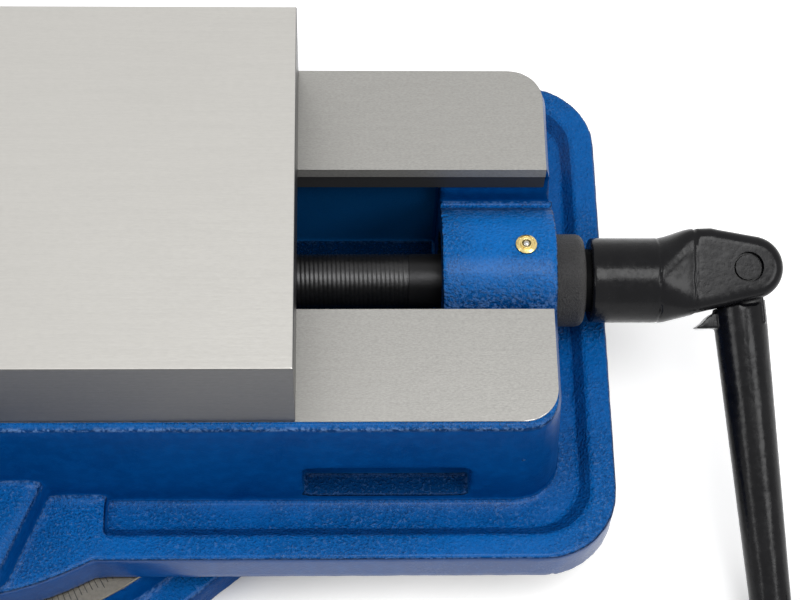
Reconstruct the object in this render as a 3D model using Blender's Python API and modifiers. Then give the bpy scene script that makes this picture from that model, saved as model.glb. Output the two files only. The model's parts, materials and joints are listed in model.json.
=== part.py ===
"""Swivel machine vise, in metres, +Z up.

The origin is on the swivel axis at the underside of the base, and +X runs
along the bed towards the crank handle. Run with
blender --background --python part.py, or from the text editor.
"""

import math

import bmesh
import bpy
from mathutils import Matrix, Vector

# Clearances
SEAT_GAP = 0.0003
RUN_GAP = 0.0004
CAVITY_GAP = 0.0010

# Swivel base
BASE_HEIGHT = 0.0332
BASE_FLANGE_HEIGHT = 0.0190
BASE_FLANGE_STEP = 0.0160
RING_WALL = 0.0260
RING_DRAFT = 0.0025
EAR_LENGTH = 0.0460
EAR_SIDE_ANGLE = math.radians(39.5)
EAR_CORNER_RADIUS = 0.0140
EAR_SLOT_WIDTH = 0.0180
EAR_SLOT_LENGTH = 0.0320
EAR_PAD_WIDTH = 0.0400
EAR_PAD_MARGIN = 0.0060
EAR_PAD_RISE = 0.0020
KEYWAY_WIDTH = 0.0160
KEYWAY_DEPTH = 0.0050
KEYWAY_LENGTH = 0.0500
KEYWAY_START = 0.1000
PIVOT_RADIUS = 0.0250
PIVOT_FLOOR = 0.0080
PIVOT_RISE = 0.0060

# Circular T-slot and its bolts
T_SLOT_FROM_JAW = 0.0320
T_NECK_WIDTH = 0.0160
T_HEAD_WIDTH = 0.0270
T_HEAD_HEIGHT = 0.0120
T_FLOOR_HEIGHT = 0.0100
T_ENTRY_ANGLE = math.radians(45.0)
LUG_BOLT_RADIUS = 0.0070
LUG_BOLT_HEAD = 0.0220
LUG_NUT_FLATS = 0.0220
LUG_NUT_HEIGHT = 0.0120
LUG_WASHER_RADIUS = 0.0140
LUG_WASHER_THICKNESS = 0.0030
LUG_BOLT_STICK_OUT = 0.0040

# Vise body casting
FLANGE_LENGTH = 0.5480
FLANGE_OVERHANG = 0.0325
FLANGE_CORNER_RADIUS = 0.0303
RIM_HEIGHT = 0.0205
RIM_WIDTH = 0.0085
RIM_EASE = 0.0012
GUTTER_DEPTH = 0.0045
GUTTER_SLOPE = 0.0032
BED_HEIGHT = 0.0800
BED_LENGTH = 0.4914
BED_CORNER_RADIUS = 0.0140
SHOULDER = 0.0038
WALL_DRAFT = 0.0017
CHANNEL_WIDTH = 0.0636
LIP_THICKNESS = 0.0145
LIP_EDGE = 0.0020
GUIDE_HEIGHT = 0.0055
GUIDE_RELIEF = 0.0006
UNDERCUT = 0.0060
CHANNEL_FLOOR = 0.0110
CORE_WIDTH = 0.0220
CORE_ROOF = 0.0185
CORE_WALL = 0.0082
CORE_END_WALL = 0.0200
SIDE_POCKET_LENGTH = 0.0670
SIDE_POCKET_SILL = 0.0046
SIDE_POCKET_HEIGHT = 0.0246
SIDE_POCKET_DEPTH = 0.0080
SIDE_POCKET_CORNER = 0.0040
SIDE_POCKET_FROM_END = 0.0317
PAD_HALF_LENGTH = 0.0682
PAD_SETBACK = 0.0085
LUG_HEIGHT = 0.0350
LUG_ROOT_HALF = 0.0487
LUG_TIP_HALF = 0.0310
LUG_TIP_FROM_BOLT = 0.0142
LUG_EASE = 0.0045

# Screw support at the handle end
SCREW_DROP = 0.0351
BOSS_RADIUS = 0.0300
BOSS_LENGTH = 0.0462
BOSS_OVERHANG = 0.0033
BOSS_SHELF = 0.0096
BUSH_OUTER_RADIUS = 0.0150
THRUST_RADIUS = 0.0205
THRUST_WASHER = 0.0027
THRUST_BALL_RADIUS = 0.0037
THRUST_BALLS = 8
THRUST_PITCH_RADIUS = 0.0158
THRUST_CAGE = 0.0030
OILER_FROM_FACE = 0.0125
OILER_HEAD_RADIUS = 0.00435
OILER_STEM_RADIUS = 0.0030
OILER_HEAD_RISE = 0.0016
OILER_HEAD_EDGE = 0.0006
OILER_FLAT_RADIUS = 0.0027
OILER_MOUTH_RADIUS = 0.0013
OILER_OUTLET_RADIUS = 0.0009
OILER_STEM_LENGTH = 0.0080
OILER_BORE_RADIUS = 0.0021
OILER_WIRE_RADIUS = 0.00025
OILER_BALL_RADIUS = 0.00175
OILER_BALL_SHOWS = 0.0002
OILER_COIL_TURNS = 5
OILER_COIL_STEPS = 8
OIL_HOLE_RADIUS = 0.0015

# Jaws
JAW_WIDTH = 0.1600
JAW_HEIGHT = 0.0446
MOVABLE_JAW_LENGTH = 0.1397
FIXED_JAW_LENGTH = 0.0500
FIXED_JAW_SETBACK = 0.0017
PLATE_THICKNESS = 0.0200
OPENING = 0.1587
JAW_EDGE = 0.0006
PLATE_SCREW_RADIUS = 0.0060
PLATE_SCREW_HEAD_RADIUS = 0.0090
PLATE_SCREW_HEAD = 0.0100
PLATE_SCREW_REACH = 0.0200
PLATE_SCREW_FROM_SIDE = 0.0300
SCREW_SINK = 0.0010
JAW_BOLT_RADIUS = 0.0080
JAW_BOLT_HEAD_RADIUS = 0.0120
JAW_BOLT_HEAD = 0.0160
JAW_BOLT_REACH = 0.0320
JAW_BOLT_FROM_SIDE = 0.0280
JAW_BOLT_FROM_BACK = 0.0180
JAW_KEY_WIDTH = 0.0120
JAW_KEY_HEIGHT = 0.0080
JAW_KEY_FROM_SIDE = 0.0100
JAW_KEY_FROM_FRONT = 0.0100
SOCKET_SHARE = 0.95

# Nut and half ball under the movable jaw, from the jaw's front face
TONGUE_LENGTH = 0.0960
TONGUE_DEPTH = 0.0140
NUT_START = 0.0320
NUT_LENGTH = 0.0530
NUT_HEIGHT = 0.0400
NUT_EAR_HEIGHT = 0.0130
HOOK_WIDTH = 0.0400
HOOK_HEIGHT = 0.0410
HOOK_OVERHANG = 0.0065
HOOK_LEDGE_GAP = 0.0050
HALF_BALL_RADIUS = 0.0130
SET_SCREW_RADIUS = 0.0040
SET_SCREW_HEIGHT = 0.0075

# Lead screw and collar
SCREW_RADIUS = 0.0110
JOURNAL_RADIUS = 0.0105
SCREW_END_GAP = 0.0488
SCREW_SHOULDER_RADIUS = 0.0180
SCREW_SHOULDER = 0.0068
COLLAR_RADIUS = 0.0191
COLLAR_LENGTH = 0.0128
COLLAR_EDGE = 0.0035
COLLAR_SCREW_RADIUS = 0.0030
COLLAR_SCREW_PLACE = 0.0058
NECK_RADIUS = 0.0130
NECK_LENGTH = 0.0042
HEX_FLATS = 0.0190
HEX_LENGTH = 0.0260

# Folding crank handle
HANDLE_TILT = math.radians(25.0)
HUB_RADIUS = 0.0175
HUB_LENGTH = 0.0360
HUB_EDGE = 0.0015
HUB_SOCKET_SLACK = 0.0020
KNUCKLE_HALF_THICKNESS = 0.0150
KNUCKLE_EDGE = 0.0035
KNUCKLE_TIP_RADIUS = 0.0130
KNUCKLE_TIP_SWEEP = math.radians(78.0)
KNUCKLE_START = 0.0191
KNUCKLE_SHOULDER = 0.0270
KNUCKLE_SHOULDER_DEPTH = 0.0163
KNUCKLE_CREST = 0.0432
KNUCKLE_CREST_END = 0.0490
KNUCKLE_BULGE = 0.0210
KNUCKLE_WAIST = 0.0134
PIN_DISTANCE = 0.0620
PIN_OFFSET = 0.0045
PIN_RADIUS = 0.0052
PIN_SINK = 0.0013
EYE_HALF_THICKNESS = 0.0080
EYE_RADIUS = 0.0124
ARM_LEAN = math.radians(5.5)
ARM_LENGTH = 0.1540
ARM_ROOT_RADIUS = 0.0110
ARM_TIP_RADIUS = 0.0083
ARM_SIDE_STEP = 0.0030
ARM_ROOT_DISTANCE = 0.0240
HEEL_REACH = 0.0210
HEEL_SLOPE = math.radians(19.3)
HEEL_CLEARANCE = 0.0004
HEEL_HALF_THICKNESS = 0.0094
ARM_BOSS_RADIUS = 0.0118
ARM_BOSS_HALF = 0.0090
GRIP_RADIUS = 0.0130
GRIP_NECK_RADIUS = 0.0095
GRIP_LENGTH = 0.0860
GRIP_BOLT_RADIUS = 0.0050
GRIP_BOLT_HEAD_RADIUS = 0.0075
GRIP_BOLT_HEAD = 0.0050
GRIP_SWELL = (0.12, 0.88)

# Facets
ROUND_SIDES = 32
SMALL_SIDES = 16
RING_SIDES = 72
SLOT_SIDES = 48
WASHER_SIDES = 24
DUCT_SIDES = 8
BALL_SIDES = 10
CORNER_STEPS = 4
BROAD_CORNER_STEPS = 8
BROAD_CORNER = 0.0200
EASE_STEPS = 2
SIDES = ((1, "far"), (-1, "near"))
OVERCUT = 0.0010
MERGE = 0.00001

# Distances across the vise, all from the jaw's width
T_SLOT_RADIUS = JAW_WIDTH / 2 + T_SLOT_FROM_JAW
RING_RADIUS = T_SLOT_RADIUS + RING_WALL
BASE_FLANGE_RADIUS = RING_RADIUS + BASE_FLANGE_STEP
EAR_REACH = BASE_FLANGE_RADIUS + EAR_LENGTH
FLANGE_WIDTH = JAW_WIDTH + 2 * FLANGE_OVERHANG
PAD_RADIUS = RING_RADIUS - PAD_SETBACK
LUG_REACH = T_SLOT_RADIUS + LUG_TIP_FROM_BOLT
PLATE_SCREW_SIDE = JAW_WIDTH / 2 - PLATE_SCREW_FROM_SIDE
JAW_BOLT_SIDE = JAW_WIDTH / 2 - JAW_BOLT_FROM_SIDE
JAW_KEY_REACH = JAW_WIDTH / 2 - JAW_KEY_FROM_SIDE
NUT_REACH = CHANNEL_WIDTH / 2 - RUN_GAP

# Heights worked out from the sizes above
BODY_Z = BASE_HEIGHT + SEAT_GAP
RIM_Z = BODY_Z + RIM_HEIGHT
GUTTER_Z = RIM_Z - GUTTER_DEPTH
RAIL_Z = BODY_Z + BED_HEIGHT
LIP_Z = RAIL_Z - LIP_THICKNESS
FLOOR_Z = BODY_Z + CHANNEL_FLOOR
SCREW_Z = RAIL_Z - SCREW_DROP
LUG_Z = BODY_Z + LUG_HEIGHT
BOSS_TOP_Z = SCREW_Z + BOSS_RADIUS
OILER_TOP_Z = BOSS_TOP_Z + OILER_HEAD_RISE
OILER_BALL_Z = OILER_TOP_Z + OILER_BALL_SHOWS - OILER_BALL_RADIUS
NUT_TOP_Z = LIP_Z - SEAT_GAP

# Places along the bed
BED_END = BED_LENGTH / 2
BOSS_FACE = BED_END + BOSS_OVERHANG
BOSS_BACK = BOSS_FACE - BOSS_LENGTH
FIXED_BACK = FIXED_JAW_SETBACK - BED_END
FIXED_FRONT = FIXED_BACK + FIXED_JAW_LENGTH
FIXED_FACE = FIXED_FRONT + SEAT_GAP + PLATE_THICKNESS
MOVABLE_FACE = FIXED_FACE + OPENING
MOVABLE_FRONT = MOVABLE_FACE + PLATE_THICKNESS + SEAT_GAP
CHANNEL_END = FIXED_FRONT - JAW_KEY_FROM_FRONT / 2
NUT_FRONT = MOVABLE_FRONT + NUT_START
NUT_BACK = NUT_FRONT + NUT_LENGTH
TONGUE_BACK = MOVABLE_FRONT + TONGUE_LENGTH
THRUST_DEPTH = SCREW_SHOULDER + 2 * THRUST_WASHER + 2 * THRUST_BALL_RADIUS + 5 * SEAT_GAP
THRUST_SEAT = BOSS_BACK + SCREW_SHOULDER / 3 + THRUST_DEPTH
COLLAR_START = BOSS_FACE + SEAT_GAP
COLLAR_END = COLLAR_START + COLLAR_LENGTH
HUB_START = COLLAR_END + NECK_LENGTH

COLOURS = {
    "blue_enamel": ((0.000, 0.085, 0.380), 0.30, 0.0),
    "ground_steel": ((0.560, 0.550, 0.530), 0.32, 1.0),
    "hard_steel": ((0.480, 0.480, 0.480), 0.28, 1.0),
    "dark_steel": ((0.050, 0.050, 0.052), 0.45, 0.6),
    "black_enamel": ((0.012, 0.012, 0.014), 0.25, 0.1),
    "bolt_steel": ((0.090, 0.090, 0.095), 0.40, 0.8),
    "brass": ((0.780, 0.560, 0.220), 0.25, 1.0),
    "bronze": ((0.450, 0.250, 0.110), 0.35, 1.0),
    "grip_plastic": ((0.015, 0.015, 0.016), 0.45, 0.0),
}


def clear_scene():
    """Remove every object so that the script can be run again."""
    for item in list(bpy.data.objects):
        bpy.data.objects.remove(item, do_unlink=True)


def new_collection(name):
    """Make a collection linked to the scene."""
    collection = bpy.data.collections.new(name)
    bpy.context.scene.collection.children.link(collection)
    return collection


def make_materials():
    """Make one Principled material for each finish."""
    made = {}
    for name, (colour, roughness, metallic) in COLOURS.items():
        material = bpy.data.materials.new(name)
        material.use_nodes = True
        shader = material.node_tree.nodes["Principled BSDF"]
        shader.inputs["Base Color"].default_value = (*colour, 1.0)
        shader.inputs["Roughness"].default_value = roughness
        shader.inputs["Metallic"].default_value = metallic
        material.diffuse_color = (*colour, 1.0)
        made[name] = material
    return made


clear_scene()
PARTS = new_collection("swivel_machine_vise")
TOOLS = new_collection("cutters_and_pads")
MATERIALS = make_materials()


def frame(name, location, parent=None, rotation=(0.0, 0.0, 0.0)):
    """Make the empty that carries the pieces of one moving body."""
    empty = bpy.data.objects.new(name, None)
    empty.location = location
    empty.rotation_euler = rotation
    empty.parent = parent
    empty.empty_display_size = 0.02
    PARTS.objects.link(empty)
    return empty


def keep(mesh_object, carrier, finish):
    """File an object as a part when it has a finish, otherwise as a tool."""
    mesh_object.parent = carrier
    if finish is None:
        TOOLS.objects.link(mesh_object)
        mesh_object.hide_render = True
        mesh_object.display_type = "WIRE"
    else:
        PARTS.objects.link(mesh_object)
        mesh_object.data.materials.append(MATERIALS[finish])
    return mesh_object


def from_bmesh(shape, name, carrier, finish):
    """Turn a bmesh into an object with outward faces."""
    bmesh.ops.recalc_face_normals(shape, faces=shape.faces)
    mesh = bpy.data.meshes.new(name)
    shape.to_mesh(mesh)
    shape.free()
    return keep(bpy.data.objects.new(name, mesh), carrier, finish)


def block(name, carrier, xs, ys, zs, finish=None, corner=0.0, along=2, top_ease=0.0, spread=0.0):
    """Make a box whose edges along one axis are rounded, with an eased top and drafted sides."""
    shape = bmesh.new()
    bmesh.ops.create_cube(shape, size=1.0)
    low = Vector((xs[0], ys[0], zs[0]))
    size = Vector((xs[1], ys[1], zs[1])) - low
    for vertex in shape.verts:
        share = vertex.co + Vector((0.5, 0.5, 0.5))
        vertex.co = Vector((low[i] + share[i] * size[i] for i in range(3)))
    if corner:
        edges = [e for e in shape.edges if abs((e.verts[0].co - e.verts[1].co)[along]) > MERGE]
        steps = BROAD_CORNER_STEPS if corner > BROAD_CORNER else CORNER_STEPS
        bmesh.ops.bevel(shape, geom=edges, offset=corner, segments=steps, profile=0.5,
                        affect="EDGES")
    centre = low + size / 2
    for vertex in shape.verts:
        if spread and vertex.co.z < centre.z:
            vertex.co.x += math.copysign(spread, vertex.co.x - centre.x)
            vertex.co.y += math.copysign(spread, vertex.co.y - centre.y)
    if top_ease:
        edges = [e for e in shape.edges if min(v.co.z for v in e.verts) > zs[1] - MERGE]
        bmesh.ops.bevel(shape, geom=edges, offset=top_ease, segments=EASE_STEPS, profile=0.5,
                        affect="EDGES")
    return from_bmesh(shape, name, carrier, finish)


AXIS_TURNS = {
    "X": Matrix.Rotation(math.radians(90), 4, "Y"),
    "Y": Matrix.Rotation(math.radians(-90), 4, "X"),
    "Z": Matrix.Identity(4),
}


def rod(name, carrier, radius, span, axis="Z", centre=(0.0, 0.0, 0.0), finish=None,
        sides=ROUND_SIDES, end_radius=None, turn=0.0):
    """Make a cylinder, cone or prism from one end of a span to the other along an axis."""
    other = radius if end_radius is None else end_radius
    place = Matrix.Translation(centre) @ AXIS_TURNS[axis]
    place = place @ Matrix.Translation((0.0, 0.0, (span[0] + span[1]) / 2))
    place = place @ Matrix.Rotation(turn, 4, "Z")
    shape = bmesh.new()
    bmesh.ops.create_cone(shape, cap_ends=True, segments=sides, radius1=radius, radius2=other,
                          depth=span[1] - span[0], matrix=place)
    if sides > 6:
        for face in shape.faces:
            face.smooth = len(face.verts) == 4
    return from_bmesh(shape, name, carrier, finish)


def sphere(name, carrier, radius, centre, finish, sides=16):
    """Make a smooth ball."""
    shape = bmesh.new()
    bmesh.ops.create_uvsphere(shape, u_segments=sides, v_segments=sides // 2, radius=radius,
                              matrix=Matrix.Translation(centre))
    for face in shape.faces:
        face.smooth = True
    return from_bmesh(shape, name, carrier, finish)


def hexagon_radius(flats):
    """Give the corner radius of a hexagon from its width across flats."""
    return flats / math.sqrt(3)


def turned(name, carrier, profile, axis="Z", centre=(0.0, 0.0, 0.0), finish=None,
           steps=ROUND_SIDES, ring=False):
    """Turn a profile of (radius, height) points, listed down its outer side, about an axis."""
    mesh = bpy.data.meshes.new(name)
    count = len(profile)
    edges = [(i, i + 1) for i in range(count - 1)]
    if ring:
        edges.append((count - 1, 0))
    mesh.from_pydata([(radius, 0.0, height) for radius, height in profile], edges, [])
    piece = keep(bpy.data.objects.new(name, mesh), carrier, finish)
    piece.matrix_basis = Matrix.Translation(centre) @ AXIS_TURNS[axis]
    screw = piece.modifiers.new("turn", "SCREW")
    screw.steps = steps
    screw.render_steps = steps
    screw.use_merge_vertices = True
    screw.merge_threshold = MERGE
    screw.use_smooth_shade = True
    return piece


def prism(name, carrier, outline, span, finish=None, plane="XY", ease=0.0):
    """Extrude a flat outline across its plane, with its two rims eased."""
    curve = bpy.data.curves.new(name, "CURVE")
    curve.dimensions = "2D"
    curve.fill_mode = "BOTH"
    curve.extrude = (span[1] - span[0]) / 2
    spline = curve.splines.new("POLY")
    spline.points.add(len(outline) - 1)
    for point, (across, up) in zip(spline.points, outline):
        point.co = (across, up, 0.0, 1.0)
    spline.use_cyclic_u = True
    source = bpy.data.objects.new(name, curve)
    TOOLS.objects.link(source)
    bpy.context.view_layer.update()
    evaluated = source.evaluated_get(bpy.context.evaluated_depsgraph_get())
    mesh = bpy.data.meshes.new_from_object(evaluated)
    bpy.data.objects.remove(source)
    shape = bmesh.new()
    shape.from_mesh(mesh)
    bpy.data.meshes.remove(mesh)
    bmesh.ops.remove_doubles(shape, verts=shape.verts, dist=MERGE)
    bmesh.ops.dissolve_limit(shape, angle_limit=math.radians(0.5), verts=shape.verts,
                             edges=shape.edges)
    bmesh.ops.recalc_face_normals(shape, faces=shape.faces)
    if ease:
        rims = [e for e in shape.edges if abs(e.verts[0].co.z - e.verts[1].co.z) < MERGE]
        bmesh.ops.bevel(shape, geom=rims, offset=ease, segments=EASE_STEPS, profile=0.5,
                        affect="EDGES")
    middle = Matrix.Translation((0.0, 0.0, (span[0] + span[1]) / 2))
    turn = Matrix.Identity(4)
    if plane == "XZ":
        turn = Matrix(((1, 0, 0, 0), (0, 0, 1, 0), (0, 1, 0, 0), (0, 0, 0, 1)))
    bmesh.ops.transform(shape, matrix=turn @ middle, verts=shape.verts)
    return from_bmesh(shape, name, carrier, finish)


def arc(centre, radius, start, end, steps):
    """List the points of an arc, angles in radians."""
    angles = [start + (end - start) * i / steps for i in range(steps + 1)]
    return [(centre[0] + radius * math.cos(a), centre[1] + radius * math.sin(a)) for a in angles]


def boolean(target, tool, operation):
    """Join or cut a piece with a tool object."""
    step = target.modifiers.new(tool.name, "BOOLEAN")
    step.operation = operation
    step.solver = "EXACT"
    step.object = tool
    return target


def cut(target, *tools):
    """Cut each tool out of a piece."""
    for tool in tools:
        boolean(target, tool, "DIFFERENCE")


def join(target, *tools):
    """Join each tool to a piece."""
    for tool in tools:
        boolean(target, tool, "UNION")


def swivel_base(carrier):
    """Make the graduated base with its circular T-slot, ears and keyways."""
    foot = RING_RADIUS + RING_DRAFT
    profile = [
        (0.0, BASE_HEIGHT),
        (RING_RADIUS - SEAT_GAP, BASE_HEIGHT),
        (RING_RADIUS, BASE_HEIGHT - SEAT_GAP),
        (foot, BASE_FLANGE_HEIGHT + RIM_EASE),
        (foot + RIM_EASE, BASE_FLANGE_HEIGHT),
        (BASE_FLANGE_RADIUS - RIM_EASE, BASE_FLANGE_HEIGHT),
        (BASE_FLANGE_RADIUS, BASE_FLANGE_HEIGHT - RIM_EASE),
        (BASE_FLANGE_RADIUS, 0.0),
        (0.0, 0.0),
    ]
    base = turned("swivel_base", carrier, profile, finish="blue_enamel", steps=RING_SIDES)
    side = BASE_FLANGE_RADIUS - SEAT_GAP
    root_x = side * math.sin(EAR_SIDE_ANGLE)
    root_y = side * math.cos(EAR_SIDE_ANGLE)
    tip = ear_tip(side)
    outline = tip + [(root_x, root_y), (-root_x, root_y)]
    outline += [(-x, -y) for x, y in tip] + [(-root_x, -root_y), (root_x, -root_y)]
    ears = prism("ear_plate", carrier, outline, (0.0, BASE_FLANGE_HEIGHT), ease=RIM_EASE)
    join(base, ears)
    for sign, name in ((1, "ear_pad_right"), (-1, "ear_pad_left")):
        near = sign * (EAR_REACH - EAR_SLOT_LENGTH - EAR_SLOT_WIDTH - EAR_PAD_MARGIN)
        far = sign * (EAR_REACH - OVERCUT)
        pad = block(name, carrier, sorted((near, far)), (-EAR_PAD_WIDTH / 2, EAR_PAD_WIDTH / 2),
                    (BASE_FLANGE_HEIGHT / 2, BASE_FLANGE_HEIGHT + EAR_PAD_RISE),
                    corner=EAR_PAD_WIDTH / 4)
        join(base, pad)
    cut(base, t_slot(carrier), t_entry(carrier))
    for sign, name in ((1, "right"), (-1, "left")):
        inner = EAR_REACH - EAR_SLOT_LENGTH
        outer = EAR_REACH + OVERCUT
        slot = block("ear_slot_" + name, carrier, sorted((sign * inner, sign * outer)),
                     (-EAR_SLOT_WIDTH / 2, EAR_SLOT_WIDTH / 2), (-OVERCUT, BASE_HEIGHT))
        end = rod("ear_slot_end_" + name, carrier, EAR_SLOT_WIDTH / 2, (-OVERCUT, BASE_HEIGHT),
                  centre=(sign * inner, 0.0, 0.0), sides=SMALL_SIDES)
        cut(base, slot, end)
    pivot_hole = rod("pivot_hole", carrier, PIVOT_RADIUS + SEAT_GAP,
                     (PIVOT_FLOOR, BASE_HEIGHT + OVERCUT))
    cut(base, pivot_hole)
    for sign, name in ((1, "right"), (-1, "left")):
        ends = sorted((sign * KEYWAY_START, sign * (KEYWAY_START + KEYWAY_LENGTH)))
        keyway = block("table_keyway_" + name, carrier, ends,
                       (-KEYWAY_WIDTH / 2, KEYWAY_WIDTH / 2), (-OVERCUT, KEYWAY_DEPTH))
        cut(base, keyway)


def ear_tip(side):
    """List the rounded tip of the right ear, whose sides lie at a distance from the axis."""
    reach = EAR_REACH - EAR_CORNER_RADIUS
    sideways = side - EAR_CORNER_RADIUS - reach * math.sin(EAR_SIDE_ANGLE)
    sideways /= math.cos(EAR_SIDE_ANGLE)
    turn = math.radians(90) - EAR_SIDE_ANGLE
    upper = arc((reach, sideways), EAR_CORNER_RADIUS, 0.0, turn, CORNER_STEPS)
    return [(x, -y) for x, y in reversed(upper)] + upper


def t_slot(carrier):
    """Make the ring that cuts the circular T-slot."""
    neck = T_NECK_WIDTH / 2
    head = T_HEAD_WIDTH / 2
    roof = T_FLOOR_HEIGHT + T_HEAD_HEIGHT
    profile = [
        (T_SLOT_RADIUS + neck, BASE_HEIGHT + OVERCUT),
        (T_SLOT_RADIUS + neck, roof),
        (T_SLOT_RADIUS + head, roof),
        (T_SLOT_RADIUS + head, T_FLOOR_HEIGHT),
        (T_SLOT_RADIUS - head, T_FLOOR_HEIGHT),
        (T_SLOT_RADIUS - head, roof),
        (T_SLOT_RADIUS - neck, roof),
        (T_SLOT_RADIUS - neck, BASE_HEIGHT + OVERCUT),
    ]
    return turned("t_slot_ring", carrier, profile, steps=SLOT_SIDES, ring=True)


def t_entry(carrier):
    """Make the drop-in hole where the T-bolt heads enter the slot."""
    centre = (T_SLOT_RADIUS * math.cos(T_ENTRY_ANGLE), T_SLOT_RADIUS * math.sin(T_ENTRY_ANGLE), 0.0)
    return rod("t_slot_entry", carrier, T_HEAD_WIDTH / 2 + OVERCUT,
               (T_FLOOR_HEIGHT + OVERCUT, BASE_HEIGHT + OVERCUT), centre=centre, sides=SMALL_SIDES)


def pivot_pin(carrier):
    """Make the ground pin that the body turns on."""
    top = BODY_Z + PIVOT_RISE - SEAT_GAP
    profile = [
        (0.0, top),
        (PIVOT_RADIUS - OVERCUT, top),
        (PIVOT_RADIUS, top - OVERCUT),
        (PIVOT_RADIUS, PIVOT_FLOOR + SEAT_GAP),
        (0.0, PIVOT_FLOOR + SEAT_GAP),
    ]
    return turned("pivot_pin", carrier, profile, finish="hard_steel")


def vise_body(carrier):
    """Make the cast body: flange, walls, lugs and screw support, with the channel and cores cut."""
    half_length = FLANGE_LENGTH / 2
    half_width = FLANGE_WIDTH / 2
    body = block("vise_body", carrier, (-half_length, half_length), (-half_width, half_width),
                 (BODY_Z, RIM_Z), finish="blue_enamel", corner=FLANGE_CORNER_RADIUS,
                 top_ease=RIM_EASE)
    flare = GUTTER_SLOPE * OVERCUT / GUTTER_DEPTH
    inner_length = half_length - RIM_WIDTH + flare
    inner_width = half_width - RIM_WIDTH + flare
    gutter = block("gutter", carrier, (-inner_length, inner_length), (-inner_width, inner_width),
                   (GUTTER_Z, RIM_Z + OVERCUT), corner=FLANGE_CORNER_RADIUS - RIM_WIDTH + flare,
                   spread=-GUTTER_SLOPE - flare)
    cut(body, gutter)
    wall_length = BED_END + SHOULDER
    wall_width = JAW_WIDTH / 2 + SHOULDER
    walls = block("body_walls", carrier, (-wall_length, wall_length), (-wall_width, wall_width),
                  (BODY_Z + RIM_HEIGHT / 3, RAIL_Z), corner=BED_CORNER_RADIUS + SHOULDER,
                  top_ease=SHOULDER, spread=WALL_DRAFT)
    join(body, walls)
    for side, name in SIDES:
        join(body, lug_pad(carrier, side, name), lug_boss(carrier, side, name))
    cut(body, *channel(carrier))
    join(body, screw_support(carrier))
    cut(body, *screw_bores(carrier))
    for side, name in SIDES:
        cut(body, lug_slot(carrier, side, name))
        for end, place in ((1, "right"), (-1, "left")):
            cut(body, side_pocket(carrier, side, end, name + "_" + place))
            cut(body, core_pocket(carrier, side, end, name + "_" + place))
    pivot_bore = rod("pivot_bore", carrier, PIVOT_RADIUS + RUN_GAP,
                     (BODY_Z - OVERCUT, BODY_Z + PIVOT_RISE))
    cut(body, pivot_bore, *fixed_jaw_holes(carrier, "bed", RAIL_Z - JAW_BOLT_REACH - SEAT_GAP,
                                           RAIL_Z + OVERCUT), bed_keyway(carrier))
    return body


def mirrored(points, side):
    """Mirror an outline to the near side, keeping its turning direction."""
    if side > 0:
        return points
    return [(x, -y) for x, y in reversed(points)]


def lug_pad(carrier, side, name):
    """Make the round-ended pad at rim level under one clamping lug."""
    start = math.acos(PAD_HALF_LENGTH / PAD_RADIUS)
    outline = arc((0.0, 0.0), PAD_RADIUS, start, math.pi - start, 16)
    root = JAW_WIDTH / 2 - 2 * SHOULDER
    outline += [(-PAD_HALF_LENGTH, root), (PAD_HALF_LENGTH, root)]
    return prism("lug_pad_" + name, carrier, mirrored(outline, side),
                 (BODY_Z + SEAT_GAP, RIM_Z + SEAT_GAP), ease=RIM_EASE)


def lug_boss(carrier, side, name):
    """Make the raised, tapered boss of one clamping lug."""
    root = JAW_WIDTH / 2 - SHOULDER
    corner = LUG_EASE
    outline = [
        (LUG_ROOT_HALF, root),
        (LUG_TIP_HALF, LUG_REACH - corner),
        (LUG_TIP_HALF - corner, LUG_REACH),
        (corner - LUG_TIP_HALF, LUG_REACH),
        (-LUG_TIP_HALF, LUG_REACH - corner),
        (-LUG_ROOT_HALF, root),
    ]
    return prism("lug_boss_" + name, carrier, mirrored(outline, side),
                 (BODY_Z + RIM_HEIGHT / 4, LUG_Z), ease=LUG_EASE)


def lug_slot(carrier, side, name):
    """Make the open slot that one T-bolt stands in."""
    half = LUG_BOLT_RADIUS + OVERCUT
    steps = 8
    outline = arc((0.0, T_SLOT_RADIUS), half, math.pi, 2 * math.pi, steps)
    outline += [(half, PAD_RADIUS + 2 * OVERCUT), (-half, PAD_RADIUS + 2 * OVERCUT)]
    return prism("lug_slot_" + name, carrier, mirrored(outline, side),
                 (BODY_Z - OVERCUT, LUG_Z + OVERCUT))


def channel(carrier):
    """Make the slot between the ways and the wider space below their lips."""
    open_end = BED_END + 2 * (WALL_DRAFT + SHOULDER)
    half = CHANNEL_WIDTH / 2
    upper = block("way_slot", carrier, (CHANNEL_END, open_end), (-half, half),
                  (LIP_Z - OVERCUT, RAIL_Z + OVERCUT))
    relief = block("guide_relief", carrier, (CHANNEL_END, open_end + OVERCUT),
                   (-half - GUIDE_RELIEF, half + GUIDE_RELIEF),
                   (LIP_Z - OVERCUT, RAIL_Z - GUIDE_HEIGHT))
    shelf = block("boss_shelf", carrier, (BOSS_BACK - OVERCUT, open_end), (-half, half),
                  (SCREW_Z + BOSS_SHELF, LIP_Z + OVERCUT))
    wide = half + UNDERCUT
    lower = block("screw_space", carrier, (CHANNEL_END, BOSS_BACK + OVERCUT / 2), (-wide, wide),
                  (FLOOR_Z, LIP_Z), corner=LIP_EDGE, along=1)
    return upper, relief, shelf, lower


def screw_support(carrier):
    """Make the cast barrel that carries the screw between the ways."""
    return rod("boss_barrel", carrier, BOSS_RADIUS, (BOSS_BACK, BOSS_FACE + OVERCUT), axis="X",
               centre=(0.0, 0.0, SCREW_Z))


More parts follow.
